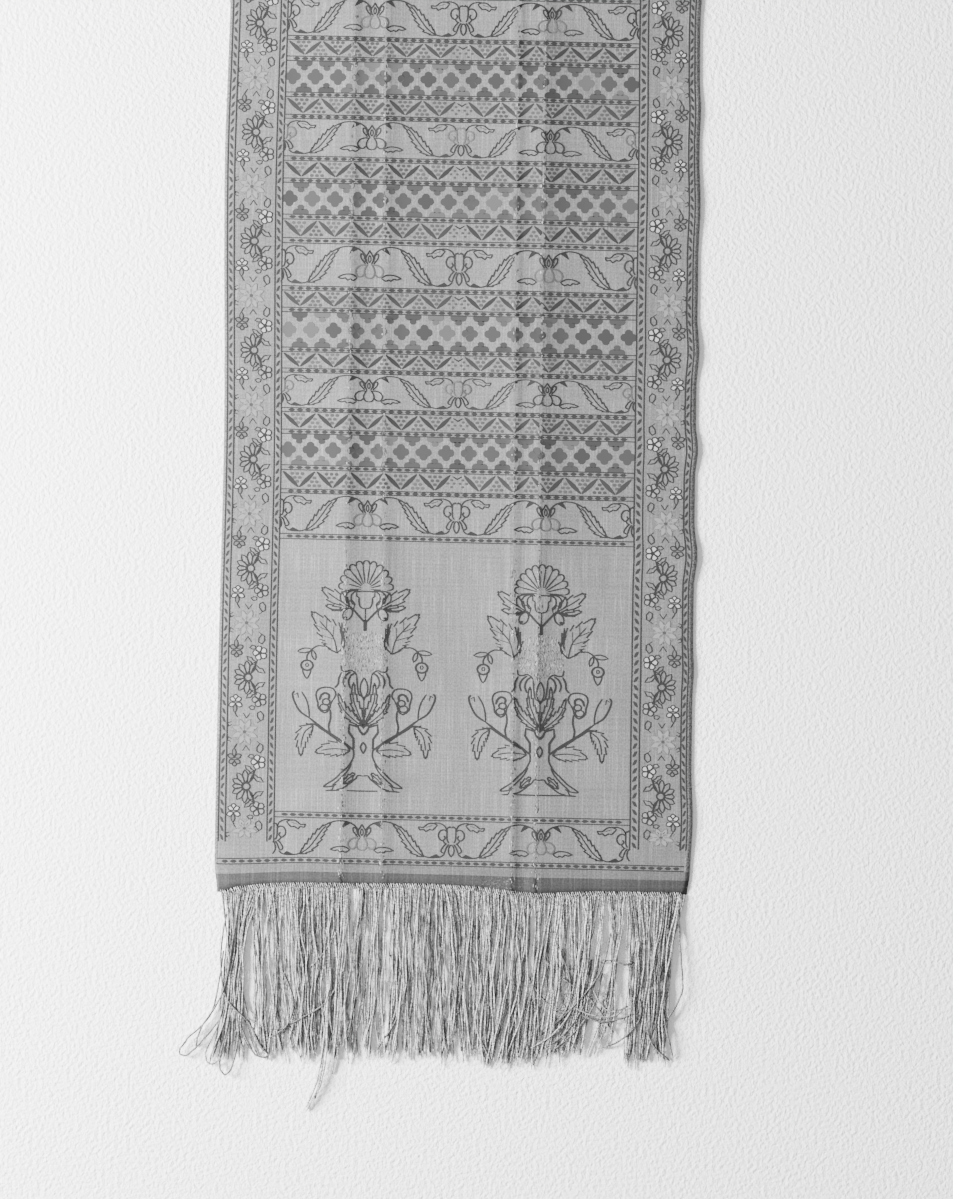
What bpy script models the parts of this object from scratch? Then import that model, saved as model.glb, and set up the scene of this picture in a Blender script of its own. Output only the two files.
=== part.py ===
"""Long woven silk sash with a fringe at each end, laid flat at full length.

The web lies along Y with its shown end towards -Y and its face up (+Z).
The origin is the middle of the underside, on the surface that it rests on.
All sizes are in metres.
"""

import math
import random

import bmesh
import bpy

# Web: one length of cloth. Along it, v runs from 0 at the near edge to WEB_LENGTH.
WEB_LENGTH = 3.452
HALF_WIDTH = 0.1772
RIGHT_INSET = 0.0010        # the right side is a little nearer the middle
WALL = 0.0012
WEFT_SKEW = 0.0108          # how far the weft leans from square, as a slope
CORNER_DRAW = 0.0022        # the ends are this much narrower on each side
CORNER_DRAW_LENGTH = 0.016

# Slow waves of the left edge. Columns: half height, length over 2 pi, phase.
WAVE_COLUMNS = ("height", "length", "phase")
LEFT_WAVES = [
    dict(zip(WAVE_COLUMNS, row))
    for row in (
        (0.0005, 0.093, 0.8),
        (0.0003, 0.041, 1.0),
    )
]

# Places where the cloth is beaten harder and draws in.
# Columns: place along v, half length, how far on the left, how far on the right.
DRAW_COLUMNS = ("v", "half", "left", "right")
DRAW_INS = [
    dict(zip(DRAW_COLUMNS, row))
    for row in (
        (0.310, 0.160, 0.0016, 0.0002),
        (0.680, 0.170, 0.0027, 0.0010),
        (1.560, 0.260, 0.0012, 0.0010),
        (2.480, 0.300, 0.0010, 0.0014),
    )
]

# Pressed lengthwise creases, left to right. Each is a ridge that runs the whole length.
# Columns: x at the near end, drift per metre over the shown length, height, phase.
CREASE_COLUMNS = ("x", "drift", "height", "phase")
CREASES = [
    dict(zip(CREASE_COLUMNS, row))
    for row in (
        (-0.0844, 0.0026, 0.0026, 0.4),
        (-0.0545, -0.0055, 0.0015, 1.9),
        (0.0436, -0.0044, 0.0020, 3.1),
        (0.0622, -0.0050, 0.0025, 5.0),
    )
]
CREASE_WANDER = 0.0012
CREASE_WANDER_LENGTH = 0.31
CREASE_LOOSE_END = 0.05     # the creases fade over this length at each end
CREASE_END_SHARE = 0.55

# A crease is uneven in height. The second wave runs at twice the crease's phase.
LONG_SWELL = 0.16
LONG_SWELL_LENGTH = 0.137
SHORT_SWELL = 0.10
SHORT_SWELL_LENGTH = 0.052

# Between its creases the cloth lies on the surface or hangs a little from ridge to ridge.
# Flanks that run down to the surface: how far they reach, and how sharply they fall.
OUTER_LEFT_FLANK = (0.046, 1.15)
INNER_LEFT_FLANK = (0.021, 2.0)
INNER_RIGHT_FLANK = (0.034, 1.15)
OUTER_RIGHT_FLANK = (0.050, 3.2)
LEFT_HOLLOW = 0.0009        # sag between the two left creases
RIGHT_HOLLOW = 0.0005       # sag between the two right creases

# Columns of the web between its left edge, the four creases and its right edge,
# as shares of the way from each of these to the next.
COLUMN_SHARES = (
    (0.28, 0.51, 0.76),
    (0.25, 0.50, 0.75),
    (0.05, 0.11, 0.21, 0.43, 0.65, 0.82),
    (0.33, 0.67),
    (0.04, 0.10, 0.20, 0.43, 0.60, 0.78, 0.90),
)

# Right selvage: it waves out and lifts off the surface in places.
# Columns: place along v, half length, how far out, lift.
BULGE_COLUMNS = ("v", "half", "out", "lift")
SHOWN_BULGES = [
    dict(zip(BULGE_COLUMNS, row))
    for row in (
        (0.055, 0.040, 0.0015, 0.0008),
        (0.167, 0.022, 0.0009, 0.0005),
        (0.252, 0.024, 0.0026, 0.0013),
        (0.331, 0.020, 0.0020, 0.0010),
        (0.404, 0.026, 0.0018, 0.0010),
        (0.512, 0.036, 0.0011, 0.0008),
        (0.583, 0.024, 0.0009, 0.0006),
    )
]
HIDDEN_BULGES_FROM = 0.70
HIDDEN_BULGES_END = 0.06    # the last one is at least this far from the far edge
BULGE_SPACING = (0.10, 0.17)
BULGE_HALF = (0.045, 0.070)
BULGE_OUT = (0.0008, 0.0024)
BULGE_LIFT = (0.0005, 0.0013)
LIFT_WIDTH = 0.026          # the lift fades inwards over this width

# Rows of the web: close together where the shown waves are, wider apart beyond.
SHOWN_LENGTH = 0.70
SHOWN_ROWS = 24
HIDDEN_ROWS = 36

# Fringes: strands that leave a narrow heading strip, parted from the web's edge.
SEAM = 0.0003
STRIP_DEPTH = 0.0026
STRIP_INSET = 0.0030        # the strip ends this far inside the web's corners
STRAND_WIDTH = 0.0018
STRAND_TOP = 0.00115
STRAND_CLEARANCE = 0.00025  # the strands lie just above the surface
STRAND_GAP = 0.0006         # the least gap between two strands of a lock
STRAND_TAPER = 0.72
FRINGE_LENGTH = 0.124
LENGTH_SPREAD = 0.0035
ROOT_STEP = 0.004

NEAR_STRANDS = 98
NEAR_STEPS = 7
FAR_STRANDS = 56
FAR_STEPS = 5
LOCK_SIZES = (3, 7)         # strands in a lock
LOCK_TIGHTNESS = 0.62       # strands of a lock draw together by this factor at their tips
NEAR_SEED = 11
FAR_SEED = 23
BULGE_SEED = 5

# How a fringe lies. Columns: x of a strand at its root, at half and at the whole of
# FRINGE_LENGTH, and the strand's own length. Strands between two rows lie between them.
GUIDE_COLUMNS = ("root", "middle", "tip", "reach")
NEAR_GUIDES = [
    dict(zip(GUIDE_COLUMNS, row))
    for row in (
        (-0.1730, -0.1760, -0.1720, 0.126),
        (-0.1470, -0.1510, -0.1420, 0.124),
        (-0.1400, -0.1360, -0.1310, 0.123),
        (-0.0750, -0.0790, -0.0820, 0.124),
        (-0.0680, -0.0700, -0.0740, 0.124),
        (-0.0160, -0.0130, -0.0130, 0.123),
        (0.0052, 0.0068, 0.0092, 0.124),
        (0.0477, 0.0455, 0.0315, 0.124),
        (0.0700, 0.0642, 0.0583, 0.123),
        (0.0745, 0.0738, 0.0717, 0.121),
        (0.1103, 0.1088, 0.0919, 0.116),
        (0.1311, 0.1334, 0.1313, 0.122),
        (0.1661, 0.1573, 0.1537, 0.123),
        (0.1730, 0.1707, 0.1678, 0.122),
    )
]
FAR_GUIDES = [
    dict(zip(GUIDE_COLUMNS, row))
    for row in (
        (-0.1730, -0.1700, -0.1650, 0.122),
        (-0.0900, -0.0930, -0.0880, 0.124),
        (-0.0200, -0.0180, -0.0240, 0.125),
        (0.0600, 0.0640, 0.0620, 0.122),
        (0.1250, 0.1210, 0.1240, 0.124),
        (0.1730, 0.1690, 0.1640, 0.123),
    )
]

# Loose ends of the near fringe. Columns: strand number, tip x, length.
LOOSE_COLUMNS = ("strand", "tip", "reach")
LOOSE_ENDS = [
    dict(zip(LOOSE_COLUMNS, row))
    for row in (
        (0, -0.2010, 0.1270),
        (1, -0.1860, 0.1225),
        (2, -0.1750, 0.1400),
        (3, -0.1670, 0.1320),
        (4, -0.1600, 0.1240),
        (23, -0.0950, 0.1700),
        (25, -0.0890, 0.1415),
        (28, -0.0790, 0.1330),
    )
]

SILK_COLOUR = (0.42, 0.42, 0.415, 1.0)
THREAD_COLOUR = (0.50, 0.50, 0.49, 1.0)
SILK_ROUGHNESS = 0.55
THREAD_ROUGHNESS = 0.62
SHEEN = 0.25


def clear_scene():
    """Start from an empty scene."""
    for old in list(bpy.data.objects):
        bpy.data.objects.remove(old, do_unlink=True)


def make_material(name, colour, roughness):
    """A dull silk: no metal, a little sheen."""
    material = bpy.data.materials.new(name)
    material.use_nodes = True
    shader = material.node_tree.nodes["Principled BSDF"]
    shader.inputs["Base Color"].default_value = colour
    shader.inputs["Roughness"].default_value = roughness
    shader.inputs["Metallic"].default_value = 0.0
    shader.inputs["Sheen Weight"].default_value = SHEEN
    return material


def smooth(t):
    """Smooth step from 0 to 1."""
    t = min(max(t, 0.0), 1.0)
    return t * t * (3.0 - 2.0 * t)


def hidden_bulges():
    """Waves of the right selvage beyond the shown length, of the same kind."""
    rng = random.Random(BULGE_SEED)
    bulges = []
    v = HIDDEN_BULGES_FROM
    while v < WEB_LENGTH - HIDDEN_BULGES_END:
        bulges.append(
            {
                "v": v,
                "half": rng.uniform(*BULGE_HALF),
                "out": rng.uniform(*BULGE_OUT),
                "lift": rng.uniform(*BULGE_LIFT),
            }
        )
        v += rng.uniform(*BULGE_SPACING)
    return bulges


BULGES = SHOWN_BULGES + hidden_bulges()


def bulge_sum(key, v):
    """The right selvage's wave ("out") or lift ("lift") at v."""
    total = 0.0
    for bulge in BULGES:
        t = abs(v - bulge["v"]) / bulge["half"]
        total = max(total, bulge[key] * smooth(1.0 - t))
    return total


def corner_draw(v):
    """How far the sides pull in towards the two ends."""
    from_end = min(v, WEB_LENGTH - v)
    return CORNER_DRAW * (1.0 - smooth(from_end / CORNER_DRAW_LENGTH))


def draw_in(side, v):
    """How far one side, "left" or "right", is drawn in at v."""
    return sum(row[side] * smooth(1.0 - abs(v - row["v"]) / row["half"]) for row in DRAW_INS)


def left_edge(v):
    """X of the left selvage at v."""
    out = sum(w["height"] * math.sin(v / w["length"] + w["phase"]) for w in LEFT_WAVES)
    return -HALF_WIDTH - out + corner_draw(v) + draw_in("left", v)


def right_edge(v):
    """X of the right selvage at v."""
    inset = RIGHT_INSET + corner_draw(v) + draw_in("right", v)
    return HALF_WIDTH - inset + bulge_sum("out", v)


def crease_x(crease, v):
    """Where a crease's top runs at v."""
    wander = CREASE_WANDER * math.sin(v / CREASE_WANDER_LENGTH + crease["phase"])
    return crease["x"] + crease["drift"] * min(v, SHOWN_LENGTH) + wander


def crease_swell(crease, v):
    """A crease is uneven in height and softer at the two ends."""
    phase = crease["phase"]
    long_wave = LONG_SWELL * math.sin(v / LONG_SWELL_LENGTH + phase)
    short_wave = SHORT_SWELL * math.sin(v / SHORT_SWELL_LENGTH + 2.0 * phase)
    from_end = min(v, WEB_LENGTH - v)
    end = CREASE_END_SHARE + (1.0 - CREASE_END_SHARE) * smooth(from_end / CREASE_LOOSE_END)
    return (1.0 + long_wave + short_wave) * end


def flank(distance, shape):
    """Share of a ridge's height that is left at a distance from its top."""
    reach, power = shape
    return max(1.0 - distance / reach, 0.0) ** power


def hollow(x, start, end, low, high, sag):
    """Height between two ridges that the cloth hangs from."""
    t = (x - start) / (end - start)
    return low + (high - low) * t - sag * 4.0 * t * (1.0 - t)


def cloth_height(x, v):
    """Height of the underside above the surface it rests on."""
    tops = [crease_x(crease, v) for crease in CREASES]
    ridges = [crease["height"] * crease_swell(crease, v) for crease in CREASES]
    if x < tops[0]:
        return ridges[0] * flank(tops[0] - x, OUTER_LEFT_FLANK)
    if x < tops[1]:
        return hollow(x, tops[0], tops[1], ridges[0], ridges[1], LEFT_HOLLOW)
    if x < tops[2]:
        falling = ridges[1] * flank(x - tops[1], INNER_LEFT_FLANK)
        rising = ridges[2] * flank(tops[2] - x, INNER_RIGHT_FLANK)
        return falling + rising
    if x < tops[3]:
        return hollow(x, tops[2], tops[3], ridges[2], ridges[3], RIGHT_HOLLOW)
    height = ridges[3] * flank(x - tops[3], OUTER_RIGHT_FLANK)
    from_edge = min((right_edge(v) - x) / LIFT_WIDTH, 1.0)
    return height + bulge_sum("lift", v) * (1.0 - from_edge) ** 2


def columns_at(v):
    """The web's columns at v, left to right: they follow the edges and the creases."""
    anchors = [left_edge(v)] + [crease_x(crease, v) for crease in CREASES] + [right_edge(v)]
    columns = [anchors[0]]
    for start, end, shares in zip(anchors, anchors[1:], COLUMN_SHARES):
        columns += [start + (end - start) * share for share in shares]
        columns.append(end)
    return columns


def row_places():
    """Places of the rows along v."""
    shown = [SHOWN_LENGTH * i / SHOWN_ROWS for i in range(SHOWN_ROWS)]
    step = (WEB_LENGTH - SHOWN_LENGTH) / HIDDEN_ROWS
    hidden = [SHOWN_LENGTH + step * i for i in range(HIDDEN_ROWS + 1)]
    corners = [CORNER_DRAW_LENGTH * 0.5, WEB_LENGTH - CORNER_DRAW_LENGTH * 0.5]
    return sorted(shown + hidden + corners)


def place(x, v):
    """World x and y of a point of the cloth: the weft leans a little."""
    return x, v - WEB_LENGTH / 2.0 - WEFT_SKEW * x


def add_object(name, mesh, material, collection):
    """One named object for a mesh."""
    mesh.materials.append(material)
    obj = bpy.data.objects.new(name, mesh)
    collection.objects.link(obj)
    return obj


def build_web(material, collection):
    """The cloth: an open underside with its creases, thickened upwards."""
    rows = row_places()
    columns = len(columns_at(0.0))
    bm = bmesh.new()
    bmesh.ops.create_grid(bm, x_segments=columns - 1, y_segments=len(rows) - 1, size=1.0)
    for vert in bm.verts:
        column = round((vert.co.x + 1.0) / 2.0 * (columns - 1))
        v = rows[round((vert.co.y + 1.0) / 2.0 * (len(rows) - 1))]
        x = columns_at(v)[column]
        vert.co = (*place(x, v), cloth_height(x, v))
    mesh = bpy.data.meshes.new("web")
    bm.to_mesh(mesh)
    bm.free()
    web = add_object("web", mesh, material, collection)
    wall = web.modifiers.new("wall", "SOLIDIFY")
    wall.thickness = WALL
    wall.offset = 1.0
    wall.use_even_offset = True


def between_guides(root, guides):
    """Middle x, tip x and length of a strand, read between the rows of a guide table."""
    after = next(i for i, guide in enumerate(guides) if guide["root"] >= root)
    low, high = guides[max(after - 1, 0)], guides[after]
    span = high["root"] - low["root"]
    share = (root - low["root"]) / span if span else 0.0
    return {key: low[key] + (high[key] - low[key]) * share for key in GUIDE_COLUMNS[1:]}


def draw_into_locks(lays, rng):
    """Strands of one lock draw together at their tips, so gaps open between locks."""
    closest = STRAND_WIDTH * STRAND_TAPER + STRAND_GAP
    first = 0
    while first < len(lays):
        lock = lays[first : first + rng.randint(*LOCK_SIZES)]
        middle = sum(lay["tip"] for lay in lock) / len(lock)
        spacing = (lock[-1]["tip"] - lock[0]["tip"]) / max(len(lock) - 1, 1)
        factor = max(LOCK_TIGHTNESS, min(closest / spacing, 1.0)) if len(lock) > 1 else 1.0
        for lay in lock:
            lay["tip"] = middle + (lay["tip"] - middle) * factor
        first += len(lock)


def keep_apart(lays, key, least):
    """Shift strands as little as leaves every two neighbours at least this far apart."""
    rightwards = [lay[key] for lay in lays]
    leftwards = list(rightwards)
    for i in range(1, len(lays)):
        rightwards[i] = max(rightwards[i], rightwards[i - 1] + least)
    for i in reversed(range(len(lays) - 1)):
        leftwards[i] = min(leftwards[i], leftwards[i + 1] - least)
    for lay, a, b in zip(lays, rightwards, leftwards):
        lay[key] = (a + b) / 2.0


def strand_points(root, lay, steps, direction):
    """Centre line of one strand as (x, v), on a parabola through root, middle and tip."""
    edge = 0.0 if direction < 0.0 else WEB_LENGTH
    start = edge + direction * (SEAM + STRIP_DEPTH)
    points = []
    for i in range(steps):
        along = ROOT_STEP + (lay["reach"] - ROOT_STEP) * i / (steps - 1)
        t = along / FRINGE_LENGTH
        x = (
            root * (2.0 * t - 1.0) * (t - 1.0)
            + lay["middle"] * 4.0 * t * (1.0 - t)
            + lay["tip"] * t * (2.0 * t - 1.0)
        )
        points.append((x, start + direction * along))
    return points


def heading_outline(roots, direction):
    """Plan of the heading strip: its outer edge has a vertex at each side of each root."""
    edge = 0.0 if direction < 0.0 else WEB_LENGTH
    inner = edge + direction * SEAM
    outer = inner + direction * STRIP_DEPTH
    left = left_edge(edge) + STRIP_INSET
    right = right_edge(edge) - STRIP_INSET
    outer_xs = [left]
    for root in roots:
        outer_xs += [root - STRAND_WIDTH / 2.0, root + STRAND_WIDTH / 2.0]
    outer_xs.append(right)
    outline = [place(x, outer) for x in outer_xs]
    outline += [place(right, inner), place(left, inner)]
    return outline if direction < 0.0 else outline[::-1]


def fringe_paths(count, steps, seed, guides, loose, direction):
    """Root x of each strand, and its centre line."""
    rng = random.Random(seed)
    edge = 0.0 if direction < 0.0 else WEB_LENGTH
    margin = STRIP_INSET + STRAND_WIDTH
    first = left_edge(edge) + margin
    last = right_edge(edge) - margin
    roots = [first + (last - first) * i / (count - 1) for i in range(count)]
    lays = [between_guides(root, guides) for root in roots]
    draw_into_locks(lays, rng)
    for lay in lays:
        lay["reach"] += rng.uniform(-LENGTH_SPREAD, LENGTH_SPREAD)
    for end in loose:
        lays[end["strand"]].update(tip=end["tip"], reach=end["reach"])
    keep_apart(lays, "middle", STRAND_WIDTH * (1.0 + STRAND_TAPER) / 2.0 + STRAND_GAP)
    keep_apart(lays, "tip", STRAND_WIDTH * STRAND_TAPER + STRAND_GAP)
    return roots, [strand_points(root, lay, steps, direction) for root, lay in zip(roots, lays)]


def plan_key(face):
    """A face's place in plan, to find it again after it was extruded."""
    centre = face.calc_center_median()
    return round(centre.x, 6), round(centre.y, 6)


def build_fringe(name, roots, paths, direction, material, collection):
    """A heading strip with strands drawn out of its outer side."""
    bm = bmesh.new()
    top = bm.faces.new([bm.verts.new((x, y, WALL)) for x, y in heading_outline(roots, direction)])
    down = bmesh.ops.extrude_face_region(bm, geom=[top])
    lower = [item for item in down["geom"] if isinstance(item, bmesh.types.BMVert)]
    bmesh.ops.translate(bm, verts=lower, vec=(0.0, 0.0, -WALL))
    bmesh.ops.recalc_face_normals(bm, faces=bm.faces)
    outwards = [face for face in bm.faces if face.normal.y * direction > 0.9]
    root_faces = []
    for root in roots:
        root_faces.append(min(outwards, key=lambda face: abs(face.calc_center_median().x - root)))
    middle_z = (STRAND_TOP + STRAND_CLEARANCE) / 2.0
    half_height = (STRAND_TOP - STRAND_CLEARANCE) / 2.0
    steps = len(paths[0])
    for step in range(steps):
        order = [plan_key(face) for face in root_faces]
        drawn = bmesh.ops.extrude_discrete_faces(bm, faces=root_faces)
        found = {plan_key(face): face for face in drawn["faces"]}
        root_faces = [found[key] for key in order]
        half_width = STRAND_WIDTH / 2.0 * (1.0 - (1.0 - STRAND_TAPER) * (step + 1) / steps)
        for face, path in zip(root_faces, paths):
            x, y = place(*path[step])
            was = face.calc_center_median()
            for vert in face.verts:
                side = math.copysign(half_width, vert.co.x - was.x)
                level = math.copysign(half_height, vert.co.z - was.z)
                vert.co = (x + side, y, middle_z + level)
    mesh = bpy.data.meshes.new(name)
    bm.to_mesh(mesh)
    bm.free()
    add_object(name, mesh, material, collection)


def main():
    clear_scene()
    collection = bpy.data.collections.new("sash")
    bpy.context.scene.collection.children.link(collection)
    silk = make_material("silk", SILK_COLOUR, SILK_ROUGHNESS)
    thread = make_material("thread", THREAD_COLOUR, THREAD_ROUGHNESS)
    build_web(silk, collection)
    near = fringe_paths(NEAR_STRANDS, NEAR_STEPS, NEAR_SEED, NEAR_GUIDES, LOOSE_ENDS, -1.0)
    build_fringe("fringe_near", *near, -1.0, thread, collection)
    far = fringe_paths(FAR_STRANDS, FAR_STEPS, FAR_SEED, FAR_GUIDES, [], 1.0)
    build_fringe("fringe_far", *far, 1.0, thread, collection)


main()
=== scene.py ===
"""Looks of a long woven silk sash with a fringe at each end, laid flat on a pale surface.

The cloth is a thin shell on the form of its solid. Its pattern lies on it as flat coloured
shapes, worked out in cloth coordinates: u across and v along it from the near edge, in mm.
"""

import math
import random

import bpy
import numpy as np
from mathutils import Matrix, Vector

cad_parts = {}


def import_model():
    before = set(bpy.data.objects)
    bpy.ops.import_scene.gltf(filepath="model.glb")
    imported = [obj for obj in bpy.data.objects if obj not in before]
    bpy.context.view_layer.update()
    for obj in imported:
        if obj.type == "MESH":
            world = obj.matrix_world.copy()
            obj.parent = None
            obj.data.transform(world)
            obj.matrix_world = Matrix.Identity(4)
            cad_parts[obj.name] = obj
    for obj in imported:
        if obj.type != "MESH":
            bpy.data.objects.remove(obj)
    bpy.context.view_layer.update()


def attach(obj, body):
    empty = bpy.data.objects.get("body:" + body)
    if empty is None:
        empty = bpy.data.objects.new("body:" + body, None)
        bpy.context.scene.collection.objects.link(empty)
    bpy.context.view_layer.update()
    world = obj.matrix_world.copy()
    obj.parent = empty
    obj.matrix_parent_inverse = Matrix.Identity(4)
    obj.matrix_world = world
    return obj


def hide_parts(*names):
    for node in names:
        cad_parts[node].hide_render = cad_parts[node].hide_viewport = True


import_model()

MM = 0.001
# One unit of the motif drawings is one pixel of the photograph: this many mm on the cloth.
PX = 0.745

# Form of the cloth, as in its solid.
LENGTH = 3452.0
HALF_WIDTH = 177.2
RIGHT_INSET = 1.0
WALL = 1.2
WEFT_SKEW = 0.0108
CORNER_DRAW = 2.2
CORNER_DRAW_LENGTH = 16.0
LEFT_WAVES = ((0.5, 93.0, 0.8), (0.3, 41.0, 1.0))
# Places where the cloth draws in: v, half length, left, right.
DRAW_INS = (
    (310.0, 160.0, 1.6, 0.2), (680.0, 170.0, 2.7, 1.0),
    (1560.0, 260.0, 1.2, 1.0), (2480.0, 300.0, 1.0, 1.4),
)
SHOWN_LENGTH = 700.0
# How far the near hem hangs below its straight line: x, drop.
HEM_DROPS = (
    (-178.0, 3.3), (-169.0, 3.1), (-160.0, 0.9), (-141.0, -0.6), (-90.0, -0.8), (-16.0, -1.9),
    (20.0, -0.6), (43.0, 1.6), (64.0, 3.4), (82.0, 2.2), (107.0, 0.7), (178.0, 0.0),
)
HEM_DEPTH = 13.0            # the hem's unevenness fades inwards over this depth
# The left corner hangs further: by how much, from which x, and how wide and deep it fades.
CORNER_DROP = 3.2
CORNER_FROM = -105.0
CORNER_WIDTH = 70.0
CORNER_DEPTH = 62.0

# Creases: x at the near end, drift per mm, height, phase.
CREASES = (
    (-84.4, 0.0026, 2.6, 0.4),
    (-54.5, -0.0055, 1.5, 1.9),
    (43.6, -0.0044, 2.0, 3.1),
    (62.2, -0.0050, 2.5, 5.0),
)
FLANKS = ((46.0, 1.15), (21.0, 2.0), (34.0, 1.15), (50.0, 3.2))
HOLLOWS = (0.9, 0.5)
LIFT_WIDTH = 26.0

# Waves of the right selvage: v, half length, out, lift.
BULGES = [
    (55.0, 40.0, 1.5, 0.8),
    (167.0, 22.0, 0.9, 0.5),
    (252.0, 24.0, 2.6, 1.3),
    (331.0, 20.0, 2.0, 1.0),
    (404.0, 26.0, 1.8, 1.0),
    (512.0, 36.0, 1.1, 0.8),
    (583.0, 24.0, 0.9, 0.6),
]
rng = random.Random(5)
bulge_v = 700.0
while bulge_v < LENGTH - 60.0:
    half, out, lift = rng.uniform(45.0, 70.0), rng.uniform(0.8, 2.4), rng.uniform(0.5, 1.3)
    BULGES.append((bulge_v, half, out, lift))
    bulge_v += rng.uniform(100.0, 170.0)

# Zones across the cloth at its full width: u of the lines between them.
LEFT_U = -175.8
RIGHT_U = 175.9
LEFT_LINES = (-173.4, -168.4, -137.9, -132.8)
RIGHT_LINES = (130.6, 137.0, 167.6, 171.9)
FIELD_LEFT = -132.8
FIELD_RIGHT = 130.6
FIELD_MIDDLE = -1.4

# Zones along the cloth from its near edge: name, depth.
END_BANDS = (
    ("stripe", 10.4), ("light", 6.4), ("guard_full", 4.4), ("vine", 29.1),
    ("guard", 4.7), ("panel", 202.6), ("guard", 4.3),
)
# Depths in drawing units of the first groups of bands, then the usual one:
# vine, guard, zigzag, guard, quatrefoil, guard, zigzag, guard.
GROUP_KINDS = ("vine", "guard", "zigzag", "guard", "quatrefoil", "guard", "zigzag", "guard")
SHOWN_GROUPS = (
    (39.7, 4.8, 18.5, 5.5, 30.5, 5.2, 16.8, 4.8),
    (34.5, 4.9, 15.8, 5.2, 34.5, 5.3, 16.3, 5.2),
    (42.1, 5.9, 17.9, 5.6, 31.0, 5.1, 16.9, 5.2),
    (36.8, 4.8, 17.0, 5.2, 30.8, 5.2, 15.8, 4.8),
)
USUAL_GROUP = (39.0, 5.2, 17.0, 5.3, 32.4, 5.2, 16.4, 5.2)
GROUPS = 31
BORDER_STARTS = 32.0
GUARDS_START = 32.6
BORDER_PERIOD = 81.2
FIRST_DAISY = 72.6

SHELL = 0.4                 # thickness of the cloth's shell
ROW_SPACING = 8.6
SHEET_GAP = 0.10            # the pattern lies this far above the cloth
FOLD_RISES = (0.26, 0.36, 0.95, 0.10)   # how far the sharp line of each crease stands up
FOLD_REACH = 4.2
EDGE_THIN = 0.75            # the top comes down this much at the left side and the ends
RIGHT_THIN = 0.35           # and this share of it at the right side
EDGE_REACH = 7.0

# Measures of the pattern, in drawing units.
DASH_STEP = 8.3
ZIGZAG_DEPTH = 18.2
VINE_DEPTH = 40.0
VINE_REPEAT = 178.0
CUP_REPEAT = 177.5
FOIL_STEP = 22.6
DOTS_FROM = 22.2
DOTS_STEP = 17.2
# Places on the cloth, in mm.
CORNER_ROSETTE = 42.0       # v of the worn rosette beside a bare corner
FLOWER_MARGIN = 10.0
PLANTS_U = (-67.6, 63.0)
PLANT_TOP = 242.8
PLANT_STRETCH = 0.99
TEARS_U = (-84.4, 43.4, 61.0)
WEAR_SHARES = (1.0, 0.6, 0.7, 0.9)      # how worn each crease is


def smooth(t):
    t = np.clip(t, 0.0, 1.0)
    return t * t * (3.0 - 2.0 * t)


def bulge_sum(column, v):
    total = np.zeros_like(v)
    for row in BULGES:
        total = np.maximum(total, row[column] * smooth(1.0 - np.abs(v - row[0]) / row[1]))
    return total


def corner_draw(v):
    from_end = np.minimum(v, LENGTH - v)
    return CORNER_DRAW * (1.0 - smooth(from_end / CORNER_DRAW_LENGTH))


def left_wave(v):
    return sum(height * np.sin(v / length + phase) for height, length, phase in LEFT_WAVES)


def draw_in(column, v):
    return sum(row[column] * smooth(1.0 - np.abs(v - row[0]) / row[1]) for row in DRAW_INS)


def left_side(v):
    return -HALF_WIDTH + corner_draw(v) + draw_in(2, v)


def right_side(v):
    return HALF_WIDTH - RIGHT_INSET - corner_draw(v) - draw_in(3, v)


def left_edge(v):
    return left_side(v) - left_wave(v)


def right_edge(v):
    return right_side(v) + bulge_sum(2, v)


def crease_x(crease, v):
    x, drift, _, phase = crease
    return x + drift * np.minimum(v, SHOWN_LENGTH) + 1.2 * np.sin(v / 310.0 + phase)


def ridge(crease, v):
    _, _, height, phase = crease
    wave = 1.0 + 0.16 * np.sin(v / 137.0 + phase) + 0.10 * np.sin(v / 52.0 + 2.0 * phase)
    end = 0.55 + 0.45 * smooth(np.minimum(v, LENGTH - v) / 50.0)
    return height * wave * end


def flank(distance, shape):
    reach, power = shape
    return np.clip(1.0 - distance / reach, 0.0, 1.0) ** power


def hollow(x, start, end, low, high, sag):
    t = (x - start) / (end - start)
    return low + (high - low) * t - sag * 4.0 * t * (1.0 - t)


def cloth_height(x, v):
    """Height of the cloth's underside above the surface."""
    a, b, c, d = (crease_x(crease, v) for crease in CREASES)
    ha, hb, hc, hd = (ridge(crease, v) for crease in CREASES)
    edge = np.minimum((right_edge(v) - x) / LIFT_WIDTH, 1.0)
    zones = (
        ha * flank(np.maximum(a - x, 0.0), FLANKS[0]),
        hollow(x, a, b, ha, hb, HOLLOWS[0]),
        hb * flank(np.maximum(x - b, 0.0), FLANKS[1])
        + hc * flank(np.maximum(c - x, 0.0), FLANKS[2]),
        hollow(x, c, d, hc, hd, HOLLOWS[1]),
    )
    last = hd * flank(np.maximum(x - d, 0.0), FLANKS[3]) + bulge_sum(3, v) * (1.0 - edge) ** 2
    return np.select([x < a, x < b, x < c, x < d], zones, last)


def across(u, v):
    """X of cloth coordinate u at v: the outer parts follow the selvages."""
    left, right = left_side(v), right_side(v)
    x = left + (u - LEFT_U) / (RIGHT_U - LEFT_U) * (right - left)
    x = x - left_wave(v) * np.clip((-u - 100.0) / 75.0, 0.0, 1.0) ** 2
    return x + bulge_sum(2, v) * np.clip((u - 110.0) / 65.9, 0.0, 1.0) ** 1.5


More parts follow.
